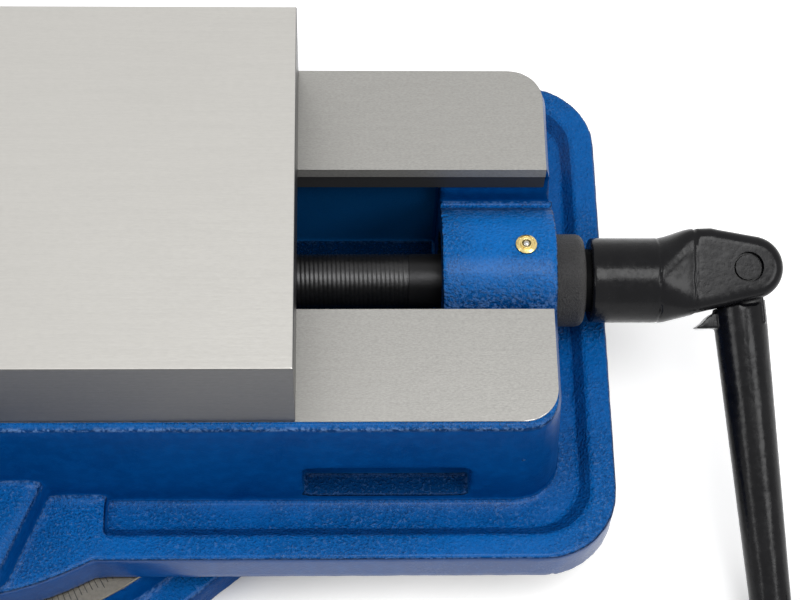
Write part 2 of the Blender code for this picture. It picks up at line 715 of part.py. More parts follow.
def screw_bores(carrier):
    """Make the cutters for the thrust bearing, the bush, the collar face and the oiler."""
    centre = (0.0, 0.0, SCREW_Z)
    bearing = rod("bearing_bore", carrier, THRUST_RADIUS + RUN_GAP,
                  (BOSS_BACK - OVERCUT, THRUST_SEAT), axis="X", centre=centre)
    bush = rod("bush_bore", carrier, BUSH_OUTER_RADIUS + SEAT_GAP,
               (BOSS_BACK, BOSS_FACE + OVERCUT), axis="X", centre=centre)
    spot = rod("collar_face", carrier, BOSS_RADIUS + OVERCUT, (BOSS_FACE, BOSS_FACE + COLLAR_LENGTH),
               axis="X", centre=centre)
    place = (BOSS_FACE - OILER_FROM_FACE, 0.0, 0.0)
    top = BOSS_TOP_Z - SEAT_GAP
    flat = rod("oiler_flat", carrier, OILER_HEAD_RADIUS + OVERCUT, (top, top + 2 * OVERCUT),
               centre=place, sides=SMALL_SIDES)
    stem = rod("oiler_hole", carrier, OILER_STEM_RADIUS + SEAT_GAP,
               (top - OILER_STEM_LENGTH - SEAT_GAP, top + OVERCUT), centre=place, sides=SMALL_SIDES)
    duct = rod("oil_duct", carrier, OIL_HOLE_RADIUS, (SCREW_Z + BUSH_OUTER_RADIUS / 2, top),
               centre=place, sides=DUCT_SIDES)
    return bearing, bush, spot, flat, stem, duct


def side_pocket(carrier, side, end, name):
    """Make one clamping pocket in the outer face of a wall."""
    outer = JAW_WIDTH / 2 + SHOULDER
    near = BED_END - SIDE_POCKET_FROM_END
    far = near - SIDE_POCKET_LENGTH
    floor = GUTTER_Z + SIDE_POCKET_SILL
    return block("side_pocket_" + name, carrier, sorted((end * near, end * far)),
                 sorted((side * (outer - SIDE_POCKET_DEPTH), side * (outer + 4 * WALL_DRAFT))),
                 (floor, floor + SIDE_POCKET_HEIGHT), corner=SIDE_POCKET_CORNER, along=1)


def core_pocket(carrier, side, end, name):
    """Make one cored pocket under a wall, open at the bottom of the body."""
    inner = CHANNEL_WIDTH / 2 + UNDERCUT + CORE_WALL
    return block("core_" + name, carrier,
                 sorted((end * (PAD_HALF_LENGTH - SHOULDER), end * (BED_END - CORE_END_WALL))),
                 sorted((side * inner, side * (inner + CORE_WIDTH))),
                 (BODY_Z - OVERCUT, RAIL_Z - CORE_ROOF), corner=CORE_WIDTH / 3)


def lug_hardware(carrier):
    """Make the two T-bolts with their washers and nuts."""
    seat = LUG_Z + SEAT_GAP
    nut_seat = seat + LUG_WASHER_THICKNESS + SEAT_GAP
    head_top = T_FLOOR_HEIGHT + T_HEAD_HEIGHT - SEAT_GAP
    bolt_top = nut_seat + LUG_NUT_HEIGHT + LUG_BOLT_STICK_OUT
    for side, name in SIDES:
        centre = (0.0, side * T_SLOT_RADIUS, 0.0)
        bolt = rod("t_bolt_" + name, carrier, LUG_BOLT_HEAD / math.sqrt(2),
                   (T_FLOOR_HEIGHT + SEAT_GAP, head_top), centre=centre, finish="bolt_steel",
                   sides=4, turn=math.pi / 4)
        shank = rod("t_bolt_shank_" + name, carrier, LUG_BOLT_RADIUS, (head_top - OVERCUT, bolt_top),
                    centre=centre, sides=SMALL_SIDES)
        join(bolt, shank)
        washer = rod("lug_washer_" + name, carrier, LUG_WASHER_RADIUS,
                     (seat, seat + LUG_WASHER_THICKNESS), centre=centre, finish="bolt_steel",
                     sides=WASHER_SIDES)
        nut = rod("lug_nut_" + name, carrier, hexagon_radius(LUG_NUT_FLATS),
                  (nut_seat, nut_seat + LUG_NUT_HEIGHT), centre=centre, finish="bolt_steel",
                  sides=6)
        hole = rod("lug_bolt_hole_" + name, carrier, LUG_BOLT_RADIUS + SEAT_GAP,
                   (LUG_Z, bolt_top + OVERCUT), centre=centre, sides=SMALL_SIDES)
        cut(washer, hole)
        cut(nut, hole)


def fixed_jaw_holes(carrier, name, low, high, radius=JAW_BOLT_RADIUS + SEAT_GAP):
    """Make the two upright bolt holes of the fixed jaw."""
    tools = []
    for side, label in SIDES:
        centre = (FIXED_BACK + JAW_BOLT_FROM_BACK, side * JAW_BOLT_SIDE, 0.0)
        tools.append(rod(name + "_bolt_hole_" + label, carrier, radius, (low, high), centre=centre,
                         sides=SMALL_SIDES))
    return tools


def key_span(extra):
    """Give the extent of the fixed jaw's key along and across the bed, grown all round."""
    middle = FIXED_FRONT - JAW_KEY_FROM_FRONT - JAW_KEY_WIDTH / 2
    half = JAW_KEY_WIDTH / 2 + extra
    reach = JAW_KEY_REACH + extra
    return (middle - half, middle + half), (-reach, reach)


def bed_keyway(carrier):
    """Make the cross keyway in the bed."""
    xs, ys = key_span(SEAT_GAP)
    return block("bed_keyway", carrier, xs, ys, (RAIL_Z - JAW_KEY_HEIGHT / 2, RAIL_Z + OVERCUT))


def fixed_jaw(carrier):
    """Make the fixed jaw block with its bolts and key."""
    bottom = RAIL_Z + SEAT_GAP
    top = bottom + JAW_HEIGHT
    half = JAW_WIDTH / 2
    jaw = block("fixed_jaw", carrier, (FIXED_BACK, FIXED_FRONT), (-half, half), (bottom, top),
                finish="ground_steel", top_ease=JAW_EDGE)
    head_seat = top - SCREW_SINK - JAW_BOLT_HEAD
    xs, ys = key_span(SEAT_GAP)
    keyway = block("jaw_keyway", carrier, xs, ys,
                   (bottom - OVERCUT, RAIL_Z + JAW_KEY_HEIGHT / 2))
    cut(jaw, keyway, *fixed_jaw_holes(carrier, "jaw", bottom - OVERCUT, top))
    cut(jaw, *fixed_jaw_holes(carrier, "jaw_head", head_seat - SEAT_GAP, top + OVERCUT,
                              JAW_BOLT_HEAD_RADIUS + SEAT_GAP))
    cut(jaw, *plate_screw_holes(carrier, "fixed", FIXED_FRONT, -1))
    for side, name in SIDES:
        centre = (FIXED_BACK + JAW_BOLT_FROM_BACK, side * JAW_BOLT_SIDE, 0.0)
        cap_screw("fixed_jaw_bolt_" + name, carrier, "Z", centre, head_seat, JAW_BOLT_HEAD,
                  JAW_BOLT_HEAD_RADIUS, RAIL_Z - JAW_BOLT_REACH, JAW_BOLT_RADIUS)
    xs, ys = key_span(0.0)
    block("fixed_jaw_key", carrier, xs, ys,
          (RAIL_Z - JAW_KEY_HEIGHT / 2 + SEAT_GAP, RAIL_Z + JAW_KEY_HEIGHT / 2 - SEAT_GAP),
          finish="hard_steel")


def plate_screw_holes(carrier, name, face, way):
    """Make the tapped holes for the jaw plate screws, running into a jaw from its front face."""
    tools = []
    height = RAIL_Z + SEAT_GAP + JAW_HEIGHT / 2
    ends = sorted((face - way * OVERCUT, face + way * (PLATE_SCREW_REACH + SEAT_GAP)))
    for side, label in SIDES:
        centre = (0.0, side * PLATE_SCREW_SIDE, height)
        tools.append(rod(name + "_plate_tap_" + label, carrier, PLATE_SCREW_RADIUS + SEAT_GAP, ends,
                         axis="X", centre=centre, sides=SMALL_SIDES))
    return tools


def jaw_plate(carrier, name, face, back):
    """Make a hardened jaw plate and its two screws; face and back are places along the bed."""
    way = 1 if back > face else -1
    half = JAW_WIDTH / 2
    low = RAIL_Z + 2 * SEAT_GAP
    high = RAIL_Z + SEAT_GAP + JAW_HEIGHT
    plate = block(name + "_jaw_plate", carrier, sorted((face, back)), (-half, half), (low, high),
                  finish="ground_steel", top_ease=JAW_EDGE)
    height = RAIL_Z + SEAT_GAP + JAW_HEIGHT / 2
    head_seat = face + way * (SCREW_SINK + PLATE_SCREW_HEAD)
    for side, label in SIDES:
        centre = (0.0, side * PLATE_SCREW_SIDE, height)
        cap_screw(name + "_plate_screw_" + label, carrier, "X", centre, head_seat,
                  -way * PLATE_SCREW_HEAD, PLATE_SCREW_HEAD_RADIUS, back + way * PLATE_SCREW_REACH,
                  PLATE_SCREW_RADIUS)
        clear = rod(name + "_plate_clear_" + label, carrier, PLATE_SCREW_RADIUS + SEAT_GAP,
                    sorted((face, back + way * OVERCUT)), axis="X", centre=centre,
                    sides=SMALL_SIDES)
        sink = rod(name + "_plate_sink_" + label, carrier, PLATE_SCREW_HEAD_RADIUS + SEAT_GAP,
                   sorted((face - way * OVERCUT, head_seat + way * SEAT_GAP)), axis="X",
                   centre=centre, sides=SMALL_SIDES)
        cut(plate, clear, sink)


def cap_screw(name, carrier, axis, centre, seat, head, head_radius, tip, radius):
    """Make a socket cap screw; head is its head's height, signed along the axis from the seat."""
    way = math.copysign(1.0, head)
    top = seat + head
    screw = rod(name, carrier, head_radius, sorted((seat, top)), axis=axis, centre=centre,
                finish="bolt_steel", sides=SMALL_SIDES)
    shank = rod(name + "_shank", carrier, radius, sorted((seat + way * OVERCUT, tip)), axis=axis,
                centre=centre, sides=SMALL_SIDES)
    socket = rod(name + "_socket", carrier, hexagon_radius(2 * radius * SOCKET_SHARE),
                 sorted((top - head / 2, top + way * OVERCUT)), axis=axis, centre=centre, sides=6)
    join(screw, shank)
    cut(screw, socket)


def slope_sum(gap):
    """Give place plus height of the nut's 45 degree face, moved out from it by a gap."""
    return NUT_FRONT - HOOK_OVERHANG + NUT_TOP_Z + HOOK_HEIGHT - gap * math.sqrt(2)


def movable_jaw(carrier):
    """Make the movable jaw with its tongue and the cavity for the nut's hook."""
    bottom = RAIL_Z + SEAT_GAP
    top = bottom + JAW_HEIGHT
    half = JAW_WIDTH / 2
    jaw = block("movable_jaw", carrier, (MOVABLE_FRONT, MOVABLE_FRONT + MOVABLE_JAW_LENGTH),
                (-half, half), (bottom, top), finish="ground_steel", top_ease=JAW_EDGE)
    tongue = block("jaw_tongue", carrier, (MOVABLE_FRONT, TONGUE_BACK), (-NUT_REACH, NUT_REACH),
                   (RAIL_Z - TONGUE_DEPTH, bottom + OVERCUT))
    join(jaw, tongue)
    line = slope_sum(HOOK_LEDGE_GAP)
    back = NUT_BACK + CAVITY_GAP
    roof = NUT_TOP_Z + HOOK_HEIGHT + CAVITY_GAP
    floor = RAIL_Z - TONGUE_DEPTH - OVERCUT
    outline = [(line - roof, roof), (line - floor, floor), (back, floor), (back, roof)]
    reach = HOOK_WIDTH / 2 + CAVITY_GAP
    cavity = prism("hook_cavity", carrier, outline, (-reach, reach), plane="XZ")
    socket = sphere("half_ball_seat", carrier, HALF_BALL_RADIUS + SEAT_GAP * 2,
                    half_ball_centre(0.0), None, WASHER_SIDES)
    tap = rod("set_screw_tap", carrier, SET_SCREW_RADIUS + SEAT_GAP,
              (NUT_BACK, TONGUE_BACK + OVERCUT), axis="X",
              centre=(0.0, 0.0, RAIL_Z - SET_SCREW_HEIGHT), sides=SMALL_SIDES)
    cut(jaw, cavity, socket, tap, *plate_screw_holes(carrier, "movable", MOVABLE_FRONT, 1))
    rod("jaw_set_screw", carrier, SET_SCREW_RADIUS, (NUT_BACK + SEAT_GAP, TONGUE_BACK - SEAT_GAP),
        axis="X", centre=(0.0, 0.0, RAIL_Z - SET_SCREW_HEIGHT), finish="bolt_steel",
        sides=SMALL_SIDES)


def half_ball_centre(gap):
    """Give the centre of the half ball's flat face, held off the nut's slope by a gap."""
    height = NUT_TOP_Z + HOOK_HEIGHT / 2
    return Vector((slope_sum(gap) - height, 0.0, height))


def half_ball(carrier):
    """Make the half ball between the nut's slope and the jaw."""
    steps = 6
    points = [(HALF_BALL_RADIUS * math.sin(math.pi / 2 * i / steps),
               HALF_BALL_RADIUS * math.cos(math.pi / 2 * i / steps)) for i in range(steps + 1)]
    ball = turned("half_ball", carrier, points + [(0.0, 0.0)], finish="hard_steel",
                  steps=SMALL_SIDES)
    turn = Matrix.Rotation(math.radians(-135), 4, "Y")
    ball.matrix_basis = Matrix.Translation(half_ball_centre(SEAT_GAP)) @ turn


def jaw_nut(carrier):
    """Make the nut: a block on the screw, ears under the lips and a sloping hook."""
    nut = block("jaw_nut", carrier, (NUT_FRONT, NUT_BACK), (-NUT_REACH, NUT_REACH),
                (NUT_TOP_Z - NUT_HEIGHT, NUT_TOP_Z), finish="dark_steel")
    ear = NUT_REACH + UNDERCUT
    ears = block("nut_ears", carrier, (NUT_FRONT, NUT_BACK), (-ear, ear),
                 (NUT_TOP_Z - NUT_EAR_HEIGHT, NUT_TOP_Z))
    line = slope_sum(0.0)
    root = NUT_TOP_Z - OVERCUT
    top = NUT_TOP_Z + HOOK_HEIGHT
    outline = [(line - top, top), (line - root, root), (NUT_BACK, root), (NUT_BACK, top)]
    hook = prism("nut_hook", carrier, outline, (-HOOK_WIDTH / 2, HOOK_WIDTH / 2), plane="XZ")
    bore = rod("nut_bore", carrier, SCREW_RADIUS + RUN_GAP,
               (NUT_FRONT - OVERCUT, NUT_BACK + OVERCUT), axis="X", centre=(0.0, 0.0, SCREW_Z))
    join(nut, ears, hook)
    cut(nut, bore)


def lead_screw(carrier):
    """Make the screw: threaded stretch, thrust shoulder, journal, neck and hexagon end."""
    shoulder = BOSS_BACK + SCREW_SHOULDER / 3
    inner = CHANNEL_END + SCREW_END_GAP
    profile = [
        (0.0, HUB_START),
        (NECK_RADIUS, HUB_START - SEAT_GAP),
        (NECK_RADIUS, COLLAR_END + SEAT_GAP),
        (JOURNAL_RADIUS, COLLAR_END + SEAT_GAP),
        (JOURNAL_RADIUS, shoulder + SCREW_SHOULDER),
        (SCREW_SHOULDER_RADIUS, shoulder + SCREW_SHOULDER),
        (SCREW_SHOULDER_RADIUS, shoulder),
        (SCREW_RADIUS, shoulder),
        (SCREW_RADIUS, inner + OVERCUT),
        (SCREW_RADIUS - OVERCUT, inner),
        (0.0, inner),
    ]
    screw = turned("lead_screw", carrier, profile, axis="X", finish="dark_steel")
    hexagon = rod("screw_hexagon", carrier, hexagon_radius(HEX_FLATS),
                  (COLLAR_END, HUB_START + HEX_LENGTH), axis="X", sides=6, turn=HANDLE_TILT)
    join(screw, hexagon)


def bearing(carrier):
    """Make the thrust bearing and the bush inside the screw support, on the screw's axis."""
    bore = JOURNAL_RADIUS + RUN_GAP
    start = BOSS_BACK + SCREW_SHOULDER / 3 + SCREW_SHOULDER + SEAT_GAP
    for name in ("thrust_washer_inner", "thrust_washer_outer"):
        end = start + THRUST_WASHER
        ring(name, carrier, THRUST_RADIUS, bore, start, end, "hard_steel")
        start = end + 2 * SEAT_GAP + 2 * THRUST_BALL_RADIUS
    middle = start - 3 * (THRUST_BALL_RADIUS + SEAT_GAP) - THRUST_WASHER
    cage = ring("thrust_cage", carrier, THRUST_RADIUS - SEAT_GAP, bore + OVERCUT,
                middle - THRUST_CAGE / 2, middle + THRUST_CAGE / 2, "brass")
    for index in range(THRUST_BALLS):
        angle = 2 * math.pi * index / THRUST_BALLS
        place = (middle, THRUST_PITCH_RADIUS * math.cos(angle), THRUST_PITCH_RADIUS * math.sin(angle))
        sphere("thrust_ball_%d" % (index + 1), carrier, THRUST_BALL_RADIUS, place, "hard_steel",
               BALL_SIDES)
        hole = rod("cage_hole_%d" % index, carrier, THRUST_BALL_RADIUS + SEAT_GAP,
                   (middle - THRUST_CAGE, middle + THRUST_CAGE), axis="X",
                   centre=(0.0, place[1], place[2]), sides=BALL_SIDES)
        cut(cage, hole)
    bush = ring("screw_bush", carrier, BUSH_OUTER_RADIUS, bore, THRUST_SEAT + SEAT_GAP,
                BOSS_FACE - SEAT_GAP, "bronze")
    duct = rod("bush_duct", carrier, OIL_HOLE_RADIUS, (0.0, BUSH_OUTER_RADIUS + OVERCUT),
               centre=(BOSS_FACE - OILER_FROM_FACE, 0.0, 0.0), sides=DUCT_SIDES)
    cut(bush, duct)


def ring(name, carrier, outer, inner, start, end, finish):
    """Make a plain ring on the screw's axis."""
    profile = [(outer, end), (outer, start), (inner, start), (inner, end)]
    return turned(name, carrier, profile, axis="X", finish=finish, ring=True, steps=WASHER_SIDES)


def collar(carrier):
    """Make the retaining collar and its set screw."""
    bore = JOURNAL_RADIUS + SEAT_GAP
    steps = 3
    edge = [(COLLAR_RADIUS - COLLAR_EDGE + COLLAR_EDGE * math.sin(math.pi / 2 * i / steps),
             COLLAR_END - COLLAR_EDGE + COLLAR_EDGE * math.cos(math.pi / 2 * i / steps))
            for i in range(steps + 1)]
    profile = edge + [(COLLAR_RADIUS, COLLAR_START + OVERCUT / 2),
                      (COLLAR_RADIUS - OVERCUT / 2, COLLAR_START), (bore, COLLAR_START),
                      (bore, COLLAR_END)]
    piece = turned("retaining_collar", carrier, profile, axis="X", finish="dark_steel", ring=True)
    middle = COLLAR_START + COLLAR_SCREW_PLACE
    hole = rod("collar_tap", carrier, COLLAR_SCREW_RADIUS + SEAT_GAP,
               (-COLLAR_RADIUS - OVERCUT, -JOURNAL_RADIUS / 2), centre=(middle, 0.0, 0.0),
               sides=SMALL_SIDES)
    cut(piece, hole)
    screw = rod("collar_set_screw", carrier, COLLAR_SCREW_RADIUS,
                (SCREW_SINK - COLLAR_RADIUS, -JOURNAL_RADIUS - SEAT_GAP), centre=(middle, 0.0, 0.0),
                finish="bolt_steel", sides=SMALL_SIDES)
    socket = rod("collar_socket", carrier, hexagon_radius(COLLAR_SCREW_RADIUS * SOCKET_SHARE),
                 (-COLLAR_RADIUS, -COLLAR_RADIUS + 3 * SCREW_SINK), centre=(middle, 0.0, 0.0),
                 sides=6)
    cut(screw, socket)


def oiler(carrier, ball_carrier):
    """Make the press-in ball oiler on top of the screw support."""
    top = BOSS_TOP_Z
    foot = top - OILER_STEM_LENGTH
    profile = [
        (OILER_MOUTH_RADIUS, OILER_TOP_Z),
        (OILER_FLAT_RADIUS, OILER_TOP_Z),
        (OILER_HEAD_RADIUS, top + OILER_HEAD_EDGE),
        (OILER_HEAD_RADIUS, top),
        (OILER_STEM_RADIUS, top),
        (OILER_STEM_RADIUS, foot),
        (OILER_OUTLET_RADIUS, foot),
        (OILER_OUTLET_RADIUS, foot + OVERCUT),
        (OILER_BORE_RADIUS, foot + OVERCUT),
        (OILER_BORE_RADIUS, OILER_BALL_Z + RUN_GAP),
    ]
    turned("oiler_body", carrier, profile, finish="brass", steps=SMALL_SIDES, ring=True,
           centre=(BOSS_FACE - OILER_FROM_FACE, 0.0, 0.0))
    sphere("oiler_ball", ball_carrier, OILER_BALL_RADIUS, (0.0, 0.0, 0.0), "hard_steel")
    low = foot + OVERCUT + SEAT_GAP + OILER_WIRE_RADIUS
    high = OILER_BALL_Z - OILER_BALL_RADIUS - SEAT_GAP - OILER_WIRE_RADIUS
    coil("oiler_spring", carrier, (BOSS_FACE - OILER_FROM_FACE, 0.0), low, high)


def coil(name, carrier, centre, low, high):
    """Make a small compression spring as a wire helix."""
    radius = OILER_BORE_RADIUS - SEAT_GAP - OILER_WIRE_RADIUS
    steps = OILER_COIL_TURNS * OILER_COIL_STEPS
    curve = bpy.data.curves.new(name, "CURVE")
    curve.dimensions = "3D"
    curve.bevel_depth = OILER_WIRE_RADIUS
    curve.bevel_resolution = 0
    curve.use_fill_caps = True
    spline = curve.splines.new("POLY")
    spline.points.add(steps)
    for index, point in enumerate(spline.points):
        angle = 2 * math.pi * index / OILER_COIL_STEPS
        height = low + (high - low) * index / steps
        point.co = (centre[0] + radius * math.cos(angle), centre[1] + radius * math.sin(angle),
                    height, 1.0)
    return keep(bpy.data.objects.new(name, curve), carrier, "bolt_steel")


def handle_hub(carrier):
    """Make the socket hub with its offset clevis, measured from the hub's open end."""
    profile = [
        (0.0, HUB_LENGTH + OVERCUT),
        (HUB_RADIUS - OVERCUT, HUB_LENGTH + OVERCUT),
        (HUB_RADIUS, HUB_LENGTH),
        (HUB_RADIUS, HUB_EDGE),
        (HUB_RADIUS - HUB_EDGE, SEAT_GAP),
        (0.0, SEAT_GAP),
    ]
    hub = turned("handle_hub", carrier, profile, axis="X", finish="black_enamel")
    knuckle = prism("hub_knuckle", carrier, knuckle_outline(),
                    (-KNUCKLE_HALF_THICKNESS, KNUCKLE_HALF_THICKNESS), ease=KNUCKLE_EDGE)
    join(hub, knuckle)
    slot_start = PIN_DISTANCE - EYE_RADIUS - CAVITY_GAP
    slot = block("clevis_slot", carrier, (slot_start, PIN_DISTANCE + 2 * KNUCKLE_TIP_RADIUS),
                 (-2 * HUB_RADIUS, 2 * HUB_RADIUS),
                 (-EYE_HALF_THICKNESS - SEAT_GAP, EYE_HALF_THICKNESS + SEAT_GAP))
    socket = rod("hex_socket", carrier, hexagon_radius(HEX_FLATS + 2 * SEAT_GAP),
                 (-OVERCUT, HEX_LENGTH + HUB_SOCKET_SLACK), axis="X", sides=6)
    hole = rod("pin_hole", carrier, PIN_RADIUS + SEAT_GAP,
               (-KNUCKLE_HALF_THICKNESS - OVERCUT, KNUCKLE_HALF_THICKNESS + OVERCUT),
               centre=(PIN_DISTANCE, PIN_OFFSET, 0.0), sides=SMALL_SIDES)
    cut(hub, slot, socket, hole)
    reach = KNUCKLE_HALF_THICKNESS - PIN_SINK
    rod("handle_pin", carrier, PIN_RADIUS, (-reach, reach), centre=(PIN_DISTANCE, PIN_OFFSET, 0.0),
        finish="black_enamel", sides=SMALL_SIDES)


def knuckle_outline():
    """List the outline of the clevis, which bulges away from the arm and rounds off at the tip."""
    tip = (PIN_DISTANCE + 2 * OVERCUT, PIN_OFFSET)
    outline = [
        (KNUCKLE_START, HUB_RADIUS - HUB_EDGE),
        (KNUCKLE_START, -HUB_RADIUS + HUB_EDGE),
        (KNUCKLE_SHOULDER, -KNUCKLE_SHOULDER_DEPTH),
        (KNUCKLE_CREST, -KNUCKLE_WAIST),
    ]
    outline += arc(tip, KNUCKLE_TIP_RADIUS, -KNUCKLE_TIP_SWEEP, KNUCKLE_TIP_SWEEP, 12)
    outline += [
        (KNUCKLE_CREST_END, KNUCKLE_BULGE - OVERCUT / 2),
        (KNUCKLE_CREST, KNUCKLE_BULGE),
        (HUB_LENGTH, KNUCKLE_BULGE - OVERCUT),
        (KNUCKLE_SHOULDER, KNUCKLE_BULGE - 3 * OVERCUT),
    ]
    return outline


def handle_arm(carrier):
    """Make the tapered arm with its eye, stop heel and grip boss; the pin is the origin."""
    far = -ARM_LENGTH
    arm = rod("handle_arm", carrier, ARM_TIP_RADIUS, (far + ARM_BOSS_RADIUS / 2, -ARM_ROOT_DISTANCE),
              axis="Y", centre=(-ARM_SIDE_STEP, 0.0, 0.0), finish="black_enamel",
              end_radius=ARM_ROOT_RADIUS)
    left = -ARM_SIDE_STEP - ARM_ROOT_RADIUS
    right = EYE_RADIUS - ARM_SIDE_STEP
    root = -KNUCKLE_TIP_RADIUS - HEEL_CLEARANCE
    crest = root - (right + HEEL_REACH) * math.tan(HEEL_SLOPE)
    buried = ARM_ROOT_DISTANCE + 4 * OVERCUT
    outline = [
        (right, root),
        (-HEEL_REACH, crest),
        (3 * OVERCUT - HEEL_REACH, crest - OVERCUT),
        (left, -ARM_ROOT_DISTANCE - OVERCUT),
        (left + OVERCUT, -buried),
        (-left - 2 * ARM_SIDE_STEP - OVERCUT, -buried),
        (-left - 2 * ARM_SIDE_STEP, -ARM_ROOT_DISTANCE),
    ]
    heel = prism("arm_heel", carrier, outline, (-HEEL_HALF_THICKNESS, HEEL_HALF_THICKNESS),
                 ease=OVERCUT / 3)
    start = math.asin((EYE_RADIUS - ARM_SIDE_STEP) / EYE_RADIUS)
    outline = arc((0.0, 0.0), EYE_RADIUS, start - math.pi / 2, 3 * math.pi / 2 - start, 24)
    outline += [(-right, -buried), (right, -buried)]
    eye = prism("arm_eye", carrier, outline, (-EYE_HALF_THICKNESS, EYE_HALF_THICKNESS))
    boss = rod("arm_boss", carrier, ARM_BOSS_RADIUS, (-ARM_BOSS_HALF, ARM_BOSS_HALF), axis="X",
               centre=(-ARM_SIDE_STEP, far, 0.0))
    join(arm, heel, eye, boss)
    hole = rod("eye_hole", carrier, PIN_RADIUS + RUN_GAP,
               (-EYE_HALF_THICKNESS - OVERCUT, EYE_HALF_THICKNESS + OVERCUT), sides=SMALL_SIDES)
    bolt_hole = rod("grip_bolt_hole", carrier, GRIP_BOLT_RADIUS + SEAT_GAP,
                    (-ARM_BOSS_HALF - OVERCUT, ARM_BOSS_HALF + OVERCUT), axis="X",
                    centre=(-ARM_SIDE_STEP, far, 0.0), sides=SMALL_SIDES)
    cut(arm, hole, bolt_hole)


def grip(carrier):
    """Make the spinning grip and the shoulder bolt that it turns on; the arm's middle is zero."""
    start = ARM_BOSS_HALF + SEAT_GAP
    end = start + GRIP_LENGTH
    head_seat = end - GRIP_BOLT_HEAD - SCREW_SINK
    bore = GRIP_BOLT_RADIUS + RUN_GAP
    sink = GRIP_BOLT_HEAD_RADIUS + RUN_GAP
    steps = 6
    outer = []
    for i in range(steps + 1):
        share = i / steps
        low, high = GRIP_SWELL
        swell = math.sin(math.pi * (high - (high - low) * share))
        radius = GRIP_NECK_RADIUS + (GRIP_RADIUS - GRIP_NECK_RADIUS) * swell
        outer.append((radius, end - OVERCUT - (end - start - 2 * OVERCUT) * share))
    profile = [(sink, end), (outer[0][0] - OVERCUT, end)] + outer
    profile += [(outer[-1][0] - OVERCUT, start), (bore, start), (bore, head_seat), (sink, head_seat)]
    turned("handle_grip", carrier, profile, axis="X", finish="grip_plastic", ring=True,
           steps=WASHER_SIDES)
    bolt_profile = [
        (0.0, end - SCREW_SINK),
        (GRIP_BOLT_HEAD_RADIUS, end - SCREW_SINK),
        (GRIP_BOLT_HEAD_RADIUS, head_seat + SEAT_GAP),
        (GRIP_BOLT_RADIUS, head_seat + SEAT_GAP),
        (GRIP_BOLT_RADIUS, -ARM_BOSS_HALF),
        (0.0, -ARM_BOSS_HALF),
    ]
    bolt = turned("grip_bolt", carrier, bolt_profile, axis="X", finish="bolt_steel",
                  steps=SMALL_SIDES)
    socket = rod("grip_bolt_socket", carrier,
                 hexagon_radius(GRIP_BOLT_HEAD_RADIUS * SOCKET_SHARE),
                 (end - GRIP_BOLT_HEAD / 2 - SCREW_SINK, end), axis="X", sides=6)
    cut(bolt, socket)


def build():
    """Make every body of the vise on its own carrier."""
    base = frame("base_carrier", (0.0, 0.0, 0.0))
    swivel = frame("swivel_axis", (0.0, 0.0, 0.0), base)
    jaw = frame("jaw_slide_carrier", (0.0, 0.0, 0.0), swivel)
    screw = frame("screw_axis", (0.0, 0.0, SCREW_Z), swivel)
    ball = frame("oiler_ball_carrier", (BOSS_FACE - OILER_FROM_FACE, 0.0, OILER_BALL_Z), swivel)
    bearings = frame("bearing_axis", (0.0, 0.0, SCREW_Z), swivel)
    handle = frame("handle_axis", (HUB_START, 0.0, 0.0), screw, (HANDLE_TILT, 0.0, 0.0))
    fold = frame("fold_axis", (PIN_DISTANCE, PIN_OFFSET, 0.0), handle, (0.0, 0.0, ARM_LEAN))
    spin = frame("grip_axis", (-ARM_SIDE_STEP, -ARM_LENGTH, 0.0), fold)
    swivel_base(base)
    pivot_pin(base)
    vise_body(swivel)
    lug_hardware(swivel)
    fixed_jaw(swivel)
    jaw_plate(swivel, "fixed", FIXED_FACE, FIXED_FRONT + SEAT_GAP)
    jaw_plate(jaw, "movable", MOVABLE_FACE, MOVABLE_FRONT - SEAT_GAP)
    bearing(bearings)
    oiler(swivel, ball)
    movable_jaw(jaw)
    half_ball(jaw)
    jaw_nut(jaw)
    lead_screw(screw)
    collar(screw)
    handle_hub(handle)
    handle_arm(fold)
    grip(spin)


build()
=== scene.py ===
"""Dresses the swivel machine vise: cast enamel, ground steel, threads, scale, camera and light.

All lengths are metres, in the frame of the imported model: the origin is on the
swivel axis under the base, +X runs towards the crank handle and +Z is up.
"""
import json
import math

import bpy
from mathutils import Matrix, Vector


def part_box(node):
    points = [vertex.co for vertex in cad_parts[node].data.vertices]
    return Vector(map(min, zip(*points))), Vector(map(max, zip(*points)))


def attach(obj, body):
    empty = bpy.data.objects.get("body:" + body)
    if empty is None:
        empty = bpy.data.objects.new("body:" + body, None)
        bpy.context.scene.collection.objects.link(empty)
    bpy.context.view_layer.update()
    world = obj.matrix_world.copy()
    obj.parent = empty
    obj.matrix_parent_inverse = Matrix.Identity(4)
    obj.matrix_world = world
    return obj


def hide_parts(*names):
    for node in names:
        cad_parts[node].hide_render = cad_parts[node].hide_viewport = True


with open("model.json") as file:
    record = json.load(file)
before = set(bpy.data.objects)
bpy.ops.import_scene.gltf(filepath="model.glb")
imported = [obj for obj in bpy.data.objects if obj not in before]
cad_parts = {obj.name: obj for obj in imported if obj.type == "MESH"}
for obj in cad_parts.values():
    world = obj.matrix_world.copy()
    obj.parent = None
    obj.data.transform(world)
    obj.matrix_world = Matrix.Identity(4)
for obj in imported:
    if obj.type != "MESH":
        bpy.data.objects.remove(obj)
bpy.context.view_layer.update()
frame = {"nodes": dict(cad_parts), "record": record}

BODIES = frame["record"]["behaviour"]["bodies"]
BODY_OF = {node: body for body, nodes in BODIES.items() for node in nodes}
SLOT_OF = {part["node"]: part["material_slot"] for part in frame["record"]["subparts"]}

# Places read from the frame
BODY_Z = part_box("vise_body")[0].z
RAIL_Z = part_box("vise_body")[1].z
RING_Z = BODY_Z - 0.0003
JAW_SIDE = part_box("movable_jaw")[1].y
SCREW_Z = (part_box("retaining_collar")[0].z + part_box("retaining_collar")[1].z) / 2
SCREW_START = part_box("lead_screw")[0].x

